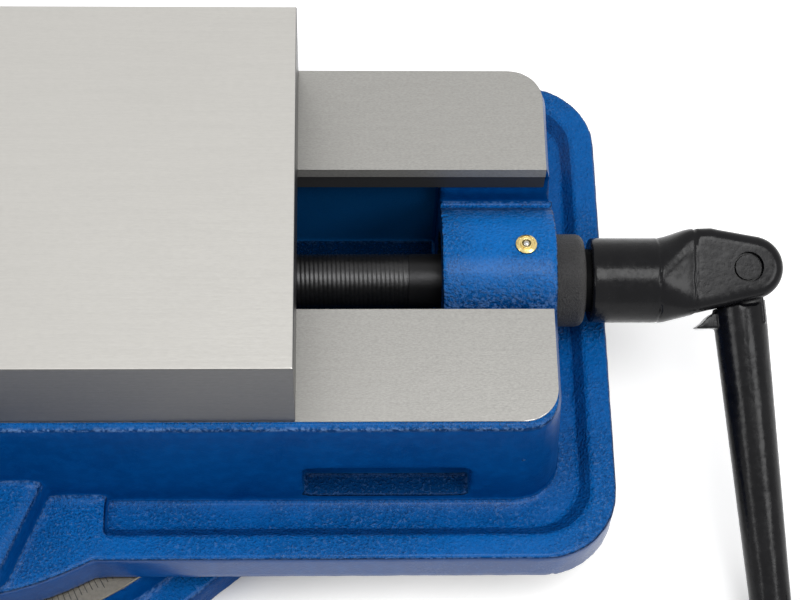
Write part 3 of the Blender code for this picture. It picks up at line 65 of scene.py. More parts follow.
# Sizes of the visible detail
LIP_DEPTH = 0.0145
GUIDE_DEPTH = 0.0055
CHANNEL_HALF = 0.0318
THREAD_PITCH = 0.0018143
THREAD_END = 0.1900
THREAD_CREST = 0.01098
THREAD_ROOT = 0.01083
THREAD_SEGMENTS = 24
RING_RADIUS = 0.1380
RING_DEPTH = 0.0030
TICK_START = 0.1286
TICK_LONG = 0.0056
TICK_SHORT = 0.0042
TICK_WIDTH = 0.00032
TICK_HEIGHT = 0.00006
BED_HALF_LENGTH = 0.2457
BED_CORNER = 0.0140
GUIDES_FOOT = 0.0440
POCKET_MOUTH = 0.0863
POCKET_HEIGHT = (0.0520, 0.1000)
POCKET_LENGTH = (0.0750, 0.2220)
CHANNEL_BACK = -0.2250
BOSS_BACK = 0.2028
BURIED = 0.0008
GUTTER_TOP = 0.0497
RIM_EDGE = 0.0536
BOSS_TOP = 0.1084
CAST_VOXEL = 0.0010
CAST_SWELL = 0.0003
FORGE_VOXEL = 0.00045
END_SHOULDER = 0.0016
FAR_SHOULDER = 0.0005
NEAR_SHOULDER = 0.0044
SHOULDER_FOOT = 0.1078
WALL_SPREAD = 0.0037
FLANGE_HALF_LENGTH = 0.2740
FLANGE_HALF_WIDTH = 0.1125
FLANGE_CORNER = 0.0303
RIM_TOP = 0.0540
RIM_INSET = 0.0060
RIM_FLAT = 0.0096
RIM_SLOPE = 0.0064
HUB_START = 0.2663
HUB_RADIUS = 0.0175
HUB_LIP = -0.0010
HUB_BARREL = 0.0262
HUB_FLOW = 0.0405
KNUCKLE_HALF = 0.0150
KNUCKLE_TIP = 0.0130
KNUCKLE_ROUND = 0.0052
CLEVIS_REACH = 0.0129
CLEVIS_HALF = 0.00805
PIN_DISTANCE = 0.0620
PIN_OFFSET = 0.0045
PIN_BORE = 0.00527
PIN_RING = (0.0059, 0.0064)
PIN_AXIS = (0.0, -0.42262, 0.90631)
PIN_PLACE = (0.3283, 0.004078, 0.080302)
ARM_ACROSS = (0.9954, 0.08687, 0.04051)
ARM_STEP = 0.0030
ARM_ROOT = 0.0110
ARM_TIP = 0.0083
ARM_LENGTH = 0.1540
ARM_BOSS = 0.0118
EYE_RADIUS = 0.0124
EYE_HALF = 0.0079
ROOT_TOP = 0.0154
ROOT_SLOPE = math.radians(7.0)
KNUCKLE_SWEEP = 0.01550
SOCKET_DEPTH = 0.0280
SOCKET_RADIUS = 0.01131

# Camera, fitted to the straight edges of the photograph
PHOTO_WIDTH = 800
FOCAL_PIXELS = 2101.8
SENSOR_WIDTH = 36.0
CAMERA_PLACE = (0.16117, -0.41446, 0.83779)
CAMERA_ELEVATION = math.radians(61.858)
CAMERA_YAW = math.radians(-3.59)
CAMERA_ROLL = math.radians(3.107)

# Light: the floor's own glow, the room's level, and each lamp's place, size and power
FLOOR_GLOW = 0.60
ROOM_LEVEL = 0.40
LAMPS = (("soft_key", (0.40, -0.26, 1.50), 0.60, 8.5),
         ("soft_left", (-1.05, -0.65, 1.05), 0.55, 4.5),
         ("soft_right", (1.05, -0.62, 1.25), 0.50, 5.0))


class Value:
    """A node's output; Python's operators on it add Math nodes."""

    def __init__(self, recipe, socket):
        self.recipe = recipe
        self.socket = socket

    def maths(self, operation, *values):
        return self.recipe.node("ShaderNodeMath", {"operation": operation}, dict(enumerate(values)))

    def __add__(self, other):
        return self.maths("ADD", self, other)

    def __sub__(self, other):
        return self.maths("SUBTRACT", self, other)

    def __rsub__(self, other):
        return self.maths("SUBTRACT", other, self)

    def __mul__(self, other):
        return self.maths("MULTIPLY", self, other)

    def __gt__(self, other):
        return self.maths("GREATER_THAN", self, other)

    def __lt__(self, other):
        return self.maths("LESS_THAN", self, other)

    def __abs__(self):
        return self.maths("ABSOLUTE", self)

    __radd__ = __add__
    __rmul__ = __mul__


class Nodes:
    """A node tree, of a material or of the room, that nodes are added to."""

    def __init__(self, tree):
        self.tree = tree

    def node(self, kind, settings=None, inputs=None, output=0):
        """Add a node: its settings first, then the values or links of its sockets."""
        made = self.tree.nodes.new(kind)
        for key, value in (settings or {}).items():
            if key == "stops":
                for element, (place, shade) in zip(made.color_ramp.elements, value):
                    element.position = place
                    element.color = (shade, shade, shade, 1.0)
            else:
                setattr(made, key, value)
        for key, value in (inputs or {}).items():
            socket = made.inputs[key]
            if isinstance(value, Value):
                self.tree.links.new(value.socket, socket)
            else:
                socket.default_value = (*value, 1.0) if socket.type == "RGBA" else value
        return Value(self, made.outputs[output])

    def seen(self):
        """Give 1 on rays that come from the camera, straight or by way of gloss or glass."""
        rays = self.node("ShaderNodeLightPath").socket.node.outputs
        straight = Value(self, rays["Is Camera Ray"]) + Value(self, rays["Is Glossy Ray"])
        return straight + Value(self, rays["Is Transmission Ray"])


class Recipe(Nodes):
    """A Principled material with its constants set on the shader's own sockets."""

    def __init__(self, name, **constants):
        self.material = bpy.data.materials.new(name)
        self.material.use_nodes = True
        super().__init__(self.material.node_tree)
        self.shader = self.tree.nodes["Principled BSDF"]
        for socket, value in constants.items():
            value = (*value, 1.0) if isinstance(value, tuple) else value
            self.shader.inputs[socket.replace("_", " ")].default_value = value
        colour = constants.get("Base_Color", (0.5, 0.5, 0.5))
        self.material.diffuse_color = (*colour, 1.0)

    def feed(self, socket, value):
        """Drive one of the shader's sockets."""
        self.tree.links.new(value.socket, self.shader.inputs[socket])

    def place(self, scale=(1.0, 1.0, 1.0)):
        """Give object coordinates, stretched along each axis."""
        coordinates = self.node("ShaderNodeTexCoord", output="Object")
        return self.node("ShaderNodeMapping", {}, {"Vector": coordinates, "Scale": scale})

    def axes(self):
        """Give the object's own X, Y and Z as three values."""
        coordinates = self.node("ShaderNodeTexCoord", output="Object")
        split = self.node("ShaderNodeSeparateXYZ", {}, {0: coordinates}).socket.node
        return [Value(self, split.outputs[i]) for i in range(3)]

    def facing(self):
        """Give the object's own normal as three values."""
        normal = self.node("ShaderNodeTexCoord", output="Normal")
        split = self.node("ShaderNodeSeparateXYZ", {}, {0: normal}).socket.node
        return [Value(self, split.outputs[i]) for i in range(3)]

    def noise(self, scale, detail=2.0, stretch=(1.0, 1.0, 1.0), roughness=0.5):
        """Give a noise value between about 0.3 and 0.7."""
        inputs = {"Vector": self.place(stretch), "Scale": scale, "Detail": detail,
                  "Roughness": roughness}
        return self.node("ShaderNodeTexNoise", {}, inputs)

    def ramp(self, value, low, high):
        """Give 0 below low and 1 above high, with a smooth rise between them."""
        return self.node("ShaderNodeMapRange", {"interpolation_type": "SMOOTHSTEP"},
                         {0: value, 1: low, 2: high, 3: 0.0, 4: 1.0})

    def blend(self, share, first, second):
        """Mix two colours."""
        return self.node("ShaderNodeMix", {"data_type": "RGBA"}, {0: share, 6: first, 7: second},
                         output=2)

    def larger(self, first, second):
        """Give the larger of two values."""
        return self.node("ShaderNodeMath", {"operation": "MAXIMUM"}, {0: first, 1: second})

    def bump(self, height, distance, strength=1.0):
        """Raise the surface by a height between 0 and 1 times a distance."""
        normal = self.node("ShaderNodeBump", {}, {"Strength": strength, "Distance": distance,
                                                  "Height": height})
        self.feed("Normal", normal)


def between(value, low, high):
    """Give 1 where a value lies between two limits."""
    return (value > low) * (value < high)


def cast_enamel(name):
    """Gloss blue enamel over a sand casting."""
    recipe = Recipe(name, Base_Color=ENAMEL, Roughness=0.25, IOR=1.07)
    recipe.shader.inputs["Coat Roughness"].default_value = 0.28
    return recipe


ENAMEL = (0.000, 0.047, 0.205)
# Lighter blue that stands for painted light on upward and higher faces.
ENAMEL_LIT = (0.004, 0.172, 0.590)
# Darker blues for painted shade inside recesses: the first for their walls, the second for their
# floors.
ENAMEL_SHADED_WALL = (0.003, 0.085, 0.270)
ENAMEL_SHADED_FLOOR = (0.000, 0.016, 0.060)
# Light lilac for painted glints and painted highlight lines.
ENAMEL_GLINT = (0.115, 0.250, 0.560)
RAIL_STEEL = (0.380, 0.373, 0.354)
GUIDE_STEEL = (0.165, 0.163, 0.156)
MILLED_IRON = (0.062, 0.062, 0.063)
SCALE_STEEL = (0.205, 0.190, 0.160)


def enamel_surface(recipe, machined, steel, steel_roughness, fine, dim=None, sheen=None):
    """Cover a casting in textured enamel, with bare metal where machined is 1; its colour carries
    painted light: lighter on upward and higher faces, painted shade on the rim's inner slope, the
    shoulder strip, the peel's dips and recesses, and painted glints on crests and edges.
    """
    normal = recipe.facing()
    y, height_above = recipe.axes()[1:]
    flat = recipe.ramp(normal[2], 0.60, 0.96)
    slope = between(height_above, GUTTER_TOP + 0.0005, RIM_EDGE - 0.0004)
    strip = (abs(y) > JAW_SIDE - 0.0040) * (height_above > SHOULDER_FOOT - 0.0020)
    turning = recipe.ramp(normal[2], 0.30, 0.60) * (1.0 - recipe.ramp(normal[2], 0.70, 0.93))
    peel = recipe.noise(900.0, 2.0, roughness=0.6)
    dashes = recipe.ramp(recipe.noise(650.0, 2.0), 0.42, 0.60)
    swell = recipe.noise(230.0, 2.0)
    patches = recipe.ramp(recipe.noise(17.0, 3.0), 0.40, 0.60)
    # Painted shade: lower faces, such as the gutter, get a darker tone than the rim and the boss
    # top.
    raised = recipe.ramp(height_above, GUTTER_TOP + 0.0020, BOSS_TOP) * 0.54 + 0.46
    raised = recipe.larger(raised, recipe.ramp(height_above, GUTTER_TOP + 0.0014, RIM_EDGE) * 0.66
                           * (height_above < RIM_EDGE + 0.0020))
    # Painted shade: the rim's inner slope and the walls' top shoulder strip are darkened.
    raised = raised * (1.0 - slope * 0.75) * (1.0 - strip * 0.42)
    # Painted light: the tone mixes towards the light blue on upward-facing and higher faces; swell
    # and patches add a little random variation.
    tone = flat * raised + recipe.ramp(swell, 0.35, 0.75) * 0.10 + patches * 0.06
    gloss = 0.22 + patches * 0.08 + peel * 0.08
    coat = flat * 0.22 + turning * 0.15
    level = recipe.ramp(normal[2], 0.55, 0.85)
    # Painted highlights: light glints on the peel's crests on upward faces, and dashed highlight
    # lines along rounded edges, stronger on high edges and faint on the rim's slope.
    glint = recipe.ramp(peel, 0.53, 0.70) * (level * (0.10 + patches * 0.42))
    crown = (height_above > RIM_EDGE + 0.05) * 0.45 + 0.50
    glint = recipe.larger(glint, turning * dashes * crown) * (1.0 - slope * 0.85)
    # Painted shade: the peel's dips on upward faces are darkened.
    pit_shade = recipe.ramp(peel, 0.47, 0.32) * (level * (0.10 + patches * 0.36))
    # Painted shade in recesses where dim is 1: tone, coat and glints fade and the paint turns to
    # the shaded blues.
    if dim is not None:
        tone = tone * (1.0 - dim)
        coat = coat * (1.0 - dim)
        glint = glint * (1.0 - dim * 0.8)
    if sheen is not None:
        coat = recipe.larger(coat, sheen)
    paint = recipe.blend(tone, ENAMEL, ENAMEL_LIT)
    if dim is not None:
        deep = recipe.blend(recipe.ramp(normal[2], 0.1, 0.6), ENAMEL_SHADED_WALL, ENAMEL_SHADED_FLOOR)
        paint = recipe.blend(dim, paint, deep)
    paint = recipe.blend(pit_shade, paint, ENAMEL)
    paint = recipe.blend(glint, paint, ENAMEL_GLINT)
    recipe.feed("Base Color", recipe.blend(machined, paint, steel))
    recipe.feed("Roughness", gloss * (1.0 - machined) + machined * steel_roughness)
    recipe.feed("Metallic", machined * 1.0)
    recipe.feed("Coat Weight", coat * (1.0 - machined))
    rough_cast = recipe.ramp(normal[2], 0.25, 0.8) * (0.40 + patches * 0.60) + 0.08
    height = (peel * 0.85 + swell * 0.35) * rough_cast * (1.0 - machined)
    recipe.bump(height + fine * machined * 0.05, 0.0034)


def body_finish():
    """Enamel on the body's casting, bare under its foot and round the screw's bores, with painted
    shade in the screw channel and the side pockets.
    """
    recipe = cast_enamel("body_enamel")
    x, y, z = recipe.axes()
    foot = z < BODY_Z + 0.0006
    bore = recipe.node("ShaderNodeMath", {"operation": "SQRT"},
                       {0: y * y + (z - SCREW_Z) * (z - SCREW_Z)}) < 0.0212
    machined = recipe.larger(foot, bore * (x > BOSS_BACK - 0.002))
    speckle = recipe.noise(900.0, 4.0)
    steel = recipe.blend(recipe.ramp(speckle, 0.3, 0.7), MILLED_IRON, GUIDE_STEEL)
    # Painted shade inside the screw channel and in the side pockets.
    inside = (abs(y) < CHANNEL_HALF + 0.008) * between(x, CHANNEL_BACK, BOSS_BACK - 0.001)
    inside = inside * between(z, GUIDES_FOOT, RAIL_Z - LIP_DEPTH + 0.002)
    pocket = between(abs(y), CHANNEL_HALF + 0.010, POCKET_MOUTH) * between(z, *POCKET_HEIGHT)
    pocket = pocket * between(abs(x), *POCKET_LENGTH) * recipe.ramp(recipe.facing()[2], 0.05, 0.3)
    outer = recipe.larger(abs(y) > JAW_SIDE + 0.0150, abs(x) > BED_HALF_LENGTH + 0.0100)
    outer = outer * (1.0 - recipe.ramp(recipe.facing()[2], 0.30, 0.70)) * (z < RIM_EDGE)
    end_wall = recipe.ramp(abs(recipe.facing()[0]), 0.40, 0.95) * (z > RIM_EDGE) * (x > 0.0)
    sheen = recipe.larger(outer * 0.55, end_wall * (x > BED_HALF_LENGTH - 0.005) * 0.46)
    dim = recipe.larger(inside, pocket * 0.6)
    enamel_surface(recipe, machined, steel, 0.42, speckle, dim, sheen)
    return recipe.material


def ways_finish():
    """Ground tops on the ways, ground guides below them and milled faces under those."""
    recipe = Recipe("ground_ways", Base_Color=RAIL_STEEL, Roughness=0.36, Metallic=1.0)
    x, y, z = recipe.axes()
    top = z > RAIL_Z - 0.0003
    ground = z > RAIL_Z - GUIDE_DEPTH
    speckle = recipe.noise(1100.0, 4.0, (0.7, 2.0, 1.0), 0.7)
    strokes = recipe.noise(240.0, 3.0, (0.20, 4.0, 1.0), 0.6)
    shade = recipe.ramp(speckle * 0.85 + strokes * 0.15, 0.32, 0.68)
    bright = recipe.blend(shade, tuple(c * 0.88 for c in RAIL_STEEL),
                          tuple(c * 1.08 for c in RAIL_STEEL))
    lower = recipe.blend(ground * (shade * 0.3 + 0.7), MILLED_IRON, RAIL_STEEL)
    recipe.feed("Base Color", recipe.blend(top, lower, bright))
    recipe.feed("Metallic", top * 0.8 + 0.2)
    recipe.feed("Roughness", 0.34 + shade * 0.10)
    recipe.bump(speckle, 0.00006)
    return recipe.material


def base_finish():
    """Enamel on the base, bare on the ears' seats and the underside."""
    recipe = cast_enamel("base_enamel")
    x, y, z = recipe.axes()
    foot = z < 0.0006
    ear_seat = between(z, 0.0206, 0.0212) * (abs(x) > RING_RADIUS)
    machined = recipe.larger(foot, ear_seat)
    speckle = recipe.noise(700.0, 4.0)
    steel = recipe.blend(recipe.ramp(speckle, 0.3, 0.7), MILLED_IRON, GUIDE_STEEL)
    enamel_surface(recipe, machined, steel, 0.42, speckle)
    return recipe.material


def scale_finish():
    """Turned face that carries the scale, slightly yellowed by oil."""
    recipe = Recipe("turned_scale", Base_Color=SCALE_STEEL, Roughness=0.44, Metallic=1.0)
    x, y, z = recipe.axes()
    radius = recipe.node("ShaderNodeMath", {"operation": "SQRT"}, {0: x * x + y * y})
    turning = recipe.node("ShaderNodeMath", {"operation": "SINE"}, {0: radius * 16000.0})
    speckle = recipe.noise(700.0, 4.0)
    shade = recipe.ramp(speckle + turning * 0.08, 0.3, 0.7)
    recipe.feed("Base Color", recipe.blend(shade, tuple(c * 0.82 for c in SCALE_STEEL),
                                           SCALE_STEEL))
    recipe.feed("Roughness", 0.40 + shade * 0.10)
    recipe.bump(speckle + turning * 0.2, 0.00005)
    return recipe.material


def ground_finish(name, colour, shaded_side_colour, side, shaded_end_colour):
    """Ground steel with fine strokes along the bed, rougher sides, and painted shade on the side
    and end faces.
    """
    recipe = Recipe(name, Base_Color=colour, Roughness=0.34, Metallic=1.0)
    x, y, z = recipe.axes()
    edge = abs(y) > side
    end = abs(recipe.facing()[0]) > 0.7
    strokes = recipe.noise(520.0, 4.0, (0.06, 1.8, 1.8), 0.65)
    fine = recipe.noise(1500.0, 3.0, (0.22, 1.2, 1.2), 0.7)
    clouds = recipe.ramp(recipe.noise(7.0, 2.0), 0.35, 0.7)
    shade = recipe.ramp(strokes * 0.35 + fine * 0.65, 0.32, 0.68)
    face = recipe.blend(shade * 0.75 + clouds * 0.25, tuple(c * 0.95 for c in colour),
                        tuple(min(c * 1.035, 1.0) for c in colour))
    # Painted shade: the side faces and the end faces get darker colours than the ground top.
    shaded_flank = recipe.blend(shade, tuple(c * 0.75 for c in shaded_side_colour), shaded_side_colour)
    side_face = recipe.blend(edge, face, shaded_flank)
    recipe.feed("Base Color", recipe.blend(end, side_face, shaded_end_colour))
    recipe.feed("Roughness", 0.32 + shade * 0.06 + edge * 0.12)
    recipe.bump(strokes * 0.4 + fine * 0.6, 0.00005)
    return recipe.material


def metal_finish(name, colour, roughness, metallic=1.0, grain=900.0, stretch=(1.0, 1.0, 1.0),
                 depth=0.00004, spread=0.12, wear=1.25):
    """Turned or blackened metal with a fine grain and slight wear in its tone."""
    recipe = Recipe(name, Base_Color=colour, Roughness=roughness, Metallic=metallic)
    fine = recipe.noise(grain, 4.0, stretch, 0.65)
    broad = recipe.ramp(recipe.noise(60.0, 3.0), 0.35, 0.68)
    shade = recipe.ramp(fine, 0.3, 0.7) * 0.6 + broad * 0.4
    recipe.feed("Base Color", recipe.blend(shade, tuple(c / wear for c in colour),
                                           tuple(min(c * wear, 1.0) for c in colour)))
    recipe.feed("Roughness", roughness - spread / 2 + shade * spread)
    recipe.bump(fine, depth)
    return recipe.material


def gloss_black(name):
    """Thick black enamel with a soft unevenness under its gloss."""
    recipe = Recipe(name, Base_Color=(0.004, 0.004, 0.005), Roughness=0.22, IOR=1.27)
    peel = recipe.noise(420.0, 3.0, roughness=0.55)
    swell = recipe.noise(90.0, 2.0)
    recipe.feed("Base Color", recipe.blend(recipe.ramp(swell, 0.3, 0.7), (0.003, 0.003, 0.004),
                                           (0.006, 0.006, 0.007)))
    recipe.feed("Roughness", 0.17 + recipe.ramp(peel, 0.35, 0.7) * 0.12)
    recipe.bump(peel * 0.4 + swell * 0.6, 0.00016)
    return recipe.material


def shaft_finish():
    """Blackened shaft, dull outside the screw support, where painted shade darkens the neck between
    the collar and the hub.
    """
    recipe = Recipe("black_shaft_shaded_neck", Base_Color=(0.02, 0.02, 0.02), Roughness=0.4, IOR=1.2)
    outside = recipe.axes()[0] > BOSS_BACK + 0.010
    film = recipe.ramp(recipe.noise(160.0, 3.0, (0.4, 1.0, 1.0)), 0.35, 0.65)
    # Painted shade: the neck between the collar and the hub is made nearly black.
    recipe.feed("Base Color", recipe.blend(outside, (0.030, 0.030, 0.031), (0.0015, 0.0015, 0.002)))
    recipe.feed("Roughness", 0.32 + film * 0.08 + outside * 0.35)
    recipe.feed("Metallic", (1.0 - outside) * 0.6)
    recipe.bump(recipe.noise(900.0, 2.0), 0.00006)
    return recipe.material


FINISHES = {
    "body": body_finish(),
    "base": base_finish(),
    "ways": ways_finish(),
    "scale": scale_finish(),
    "jaw": ground_finish("ground_jaw", (0.575, 0.562, 0.532), (0.142, 0.141, 0.140),
                         JAW_SIDE - 0.0003, (0.090, 0.090, 0.090)),
    "plate": ground_finish("ground_plate", (0.560, 0.550, 0.530), (0.200, 0.200, 0.202),
                           JAW_SIDE - 0.0003, (0.420, 0.412, 0.398)),
    "hard": metal_finish("hardened_steel", (0.480, 0.480, 0.480), 0.26),
    "thread": metal_finish("blackened_thread", (0.042, 0.042, 0.043), 0.34, 0.8),
    "collar": metal_finish("blasted_collar", (0.046, 0.045, 0.045), 0.55, 0.5, 1300.0,
                           depth=0.0009, spread=0.2, wear=1.7),
    "shaded_neck_shaft": shaft_finish(),
    "bolt": metal_finish("black_oxide", (0.075, 0.075, 0.080), 0.38, 0.8),
    "brass": metal_finish("turned_brass", (0.760, 0.600, 0.260), 0.24),
    "bronze": metal_finish("turned_bronze", (0.450, 0.250, 0.110), 0.35),
    "enamel": gloss_black("handle_enamel"),
    "grip": metal_finish("grip_plastic", (0.016, 0.016, 0.017), 0.42, 0.0, 700.0, depth=0.0002,
                         wear=1.15),
    "ink": metal_finish("scale_ink", (0.015, 0.014, 0.013), 0.6, 0.0),
}
FINISH_OF = {
    "cast_blue": "body", "ground_steel": "jaw", "hard_steel": "hard", "dark_steel": "thread",
    "black_enamel": "enamel", "brass": "brass", "bronze": "bronze", "grip_plastic": "grip",
    "bolt_steel": "bolt",
}
NODE_FINISH = {"swivel_base": "base", "retaining_collar": "collar", "fixed_jaw_plate": "plate",
               "movable_jaw_plate": "plate"}


def only(piece):
    """Select one object alone and make it active."""
    bpy.ops.object.select_all(action="DESELECT")
    piece.hide_set(False)
    piece.select_set(True)
    bpy.context.view_layer.objects.active = piece


def shade(piece, degrees=35.0):
    """Shade a piece smooth, but crisp over its sharp edges."""
    only(piece)
    bpy.ops.object.shade_smooth_by_angle(angle=math.radians(degrees))


def apply_all(piece):
    """Apply each modifier of a piece."""
    only(piece)
    for modifier in list(piece.modifiers):
        bpy.ops.object.modifier_apply(modifier=modifier.name)


def paint(piece, finish):
    """Give a piece one finish all over."""
    piece.data.materials.clear()
    piece.data.materials.append(FINISHES[finish])


def ride(piece, node, finish):
    """Give a piece a finish and make it move with a CAD node's body."""
    paint(piece, finish)
    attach(piece, BODY_OF[node])


def merged_copy(node, name, dissolve=True):
    """Copy a CAD node's mesh, join its loose triangles and clear their fixed normals."""
    piece = bpy.data.objects.new(name, frame["nodes"][node].data.copy())
    bpy.context.scene.collection.objects.link(piece)
    only(piece)
    bpy.ops.object.mode_set(mode="EDIT")
    bpy.ops.mesh.select_all(action="SELECT")
    bpy.ops.mesh.customdata_custom_splitnormals_clear()
    bpy.ops.mesh.remove_doubles(threshold=0.000002)
    if dissolve:
        bpy.ops.mesh.dissolve_limited(angle_limit=math.radians(0.4))
    bpy.ops.object.mode_set(mode="OBJECT")
    return piece


def round_edges(piece, width, steps=2, degrees=30.0):
    """Round a piece's sharp edges and let its flat faces keep flat shading."""
    if width:
        bevel = piece.modifiers.new("edges", "BEVEL")
        bevel.width = width
        bevel.segments = steps
        bevel.limit_method = "ANGLE"
        bevel.angle_limit = math.radians(degrees)
        bevel.use_clamp_overlap = False
        bevel.loop_slide = False
        apply_all(piece)
    shade(piece)
    weighted = piece.modifiers.new("normals", "WEIGHTED_NORMAL")
    weighted.keep_sharp = True
    apply_all(piece)


def eased(node, name, width):
    """Copy a CAD node and round its edges, so that the copy stands for it."""
    piece = merged_copy(node, name)
    round_edges(piece, width)
    ride(piece, node, NODE_FINISH.get(node, FINISH_OF[SLOT_OF[node]]))
    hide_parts(node)
    return piece


def resurface(piece, voxel, thinning, softening):
    """Give a piece one even, closed skin, thinned on its flats, and soften its edges."""
    skin = piece.modifiers.new("skin", "REMESH")
    skin.mode = "VOXEL"
    skin.voxel_size = voxel
    skin.adaptivity = thinning
    soften = piece.modifiers.new("soften", "SMOOTH")
    soften.factor = 0.5
    soften.iterations = softening
    apply_all(piece)


def roughen(piece, swell, swell_size):
    """Swell a casting's skin a little, as its sand mould leaves it."""
    texture = bpy.data.textures.new(piece.name, "CLOUDS")
    texture.noise_scale = swell_size
    texture.noise_depth = 1
    wave = piece.modifiers.new("swell", "DISPLACE")
    wave.texture = texture
    wave.texture_coords = "LOCAL"
    wave.strength = swell
    apply_all(piece)


def keep_inside(piece, node, forward=0.0):
    """Hold a piece inside its CAD node's box, or a little forward of it at its low X end."""
    low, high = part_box(node)
    low = (low.x - forward, low.y, low.z)
    for vertex in piece.data.vertices:
        for axis in range(3):
            vertex.co[axis] = min(max(vertex.co[axis], low[axis]), high[axis])


def rim_slope():
    """Model the broad slope from the body's rim down into its gutter."""
    length = FLANGE_HALF_LENGTH - RIM_INSET
    width = FLANGE_HALF_WIDTH - RIM_INSET
    ring = cutter("rim_slope", (-length, -width, GUTTER_TOP - 0.004),
                  (length, width, RIM_TOP), FLANGE_CORNER - RIM_INSET)
    inner = RIM_FLAT - RIM_INSET
    hollow = cutter("rim_hollow", (inner - length, inner - width, GUTTER_TOP - 0.0001),
                    (length - inner, width - inner, RIM_TOP), FLANGE_CORNER - RIM_FLAT)
    for vertex in hollow.data.vertices:
        low = vertex.co.z < RIM_TOP - 0.001
        vertex.co.z += -0.0060 if low else 0.0002
        for axis in range(2):
            vertex.co[axis] -= math.copysign(RIM_SLOPE * 2.0 if low else 0.0, vertex.co[axis])
    carve(ring, hollow, "DIFFERENCE")
    return ring


def cast(node, fit):
    """Copy a CAD node as a casting: softened edges, slight swell and an even skin."""
    piece = merged_copy(node, node + "_cast", dissolve=False)
    if node == "vise_body":
        piece = fused([piece, rim_slope()], piece.name)
    resurface(piece, CAST_VOXEL, 0.02, 2)
    roughen(piece, CAST_SWELL, 0.007)
    for vertex in piece.data.vertices:
        fit(vertex.co)
    keep_inside(piece, node)
    only(piece)
    bpy.ops.object.shade_smooth()
    ride(piece, node, NODE_FINISH.get(node, FINISH_OF[SLOT_OF[node]]))
    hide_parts(node)
    return piece


def shoulder_reach(height, shoulder):
    """Tell how far the walls stand out past the ground ways at a height."""
    if height > SHOULDER_FOOT:
        return shoulder * (RAIL_Z - height) / (RAIL_Z - SHOULDER_FOOT)
    return shoulder + WALL_SPREAD * (SHOULDER_FOOT - height) / (SHOULDER_FOOT - GUTTER_TOP)


def clear_of_ways(point):
    """Trim the walls' shoulder, narrow at the far side, and sink the skin under the ways."""
    past_end = max(abs(point.x) - (BED_HALF_LENGTH - BED_CORNER), 0.0)
    past_side = max(abs(point.y) - (JAW_SIDE - BED_CORNER), 0.0)
    radius = math.hypot(past_end, past_side)
    along_channel = past_end > 0.0 and abs(point.y) < CHANNEL_HALF
    if point.z > GUTTER_TOP + 0.0004 and BED_CORNER < radius < 0.0225 and not along_channel:
        share = (past_side / radius) ** 2
        side = shoulder_reach(point.z, FAR_SHOULDER if point.y > 0.0 else NEAR_SHOULDER)
        if point.y < 0.0:
            side = max(side, NEAR_SHOULDER)
        reach = side * share + shoulder_reach(point.z, END_SHOULDER) * (1.0 - share)
        trim = max(0.0, 1.0 - (BED_CORNER + reach) / radius)
        point.x -= math.copysign(past_end * trim, point.x)
        point.y -= math.copysign(past_side * trim, point.y)
    lip = RAIL_Z - LIP_DEPTH
    if abs(point.x) > BED_HALF_LENGTH or abs(point.y) > JAW_SIDE:
        return
    if CHANNEL_HALF - 0.0006 < abs(point.y) < CHANNEL_HALF + 0.0060 and point.z > lip - 0.0012:
        point.y = math.copysign(max(abs(point.y), CHANNEL_HALF + 0.0016), point.y)
        point.z = max(point.z, lip + BURIED)
    point.z = min(point.z, RAIL_Z - BURIED)


def clear_of_scale(point):
    """Sink the casting's skin a little under the turned face of the base."""
    if math.hypot(point.x, point.y) < RING_RADIUS + 0.0004:
        point.z = min(point.z, RING_Z - BURIED / 2)


def pick_edges(piece, wanted):
    """Go into edit mode with only those edges selected whose two ends pass a test."""
    only(piece)
    bpy.ops.object.mode_set(mode="EDIT")
    bpy.ops.mesh.select_mode(type="EDGE")
    bpy.ops.mesh.select_all(action="DESELECT")
    bpy.ops.object.mode_set(mode="OBJECT")
    for edge in piece.data.edges:
        edge.select = wanted(*(piece.data.vertices[i].co for i in edge.vertices))
    bpy.ops.object.mode_set(mode="EDIT")


def cutter(name, low, high, corner=0.0):
    """Add a block from one corner to the other, with its upright edges rounded."""
    bpy.ops.object.select_all(action="DESELECT")
    middle = [(a + b) / 2 for a, b in zip(low, high)]
    size = [b - a for a, b in zip(low, high)]
    bpy.ops.mesh.primitive_cube_add(size=1.0, location=middle, scale=size)
    bpy.ops.object.transform_apply(location=True, rotation=True, scale=True)
    block = bpy.context.object
    block.name = name
    if corner:
        pick_edges(block, lambda first, second: abs(first.z - second.z) > size[2] / 2)
        bpy.ops.mesh.bevel(offset=corner, segments=12, profile=0.5, affect="EDGES")
        bpy.ops.object.mode_set(mode="OBJECT")
    return block


def carve(piece, tool, operation):
    """Apply a Boolean and throw its tool away."""
    step = piece.modifiers.new(tool.name, "BOOLEAN")
    step.operation = operation
    step.solver = "EXACT"
    step.object = tool
    apply_all(piece)
    bpy.data.objects.remove(tool)


def ground_ways():
    """Model the ground ways with their guides as crisp steel set into the casting."""
    piece = merged_copy("vise_body", "ground_ways")
    block = cutter("ways_outline", (-BED_HALF_LENGTH, -JAW_SIDE, RAIL_Z - LIP_DEPTH),
                   (BED_HALF_LENGTH, JAW_SIDE, RAIL_Z + 0.001), BED_CORNER)
    carve(piece, block, "INTERSECT")
    half = CHANNEL_HALF - 0.00005
    barrel = cutter("barrel_space", (BOSS_BACK - 0.002, -half, RAIL_Z - 0.02),
                    (BED_HALF_LENGTH + 0.02, half, RAIL_Z - 0.001))
    carve(piece, barrel, "DIFFERENCE")
    round_edges(piece, 0.0)
    ride(piece, "vise_body", "ways")


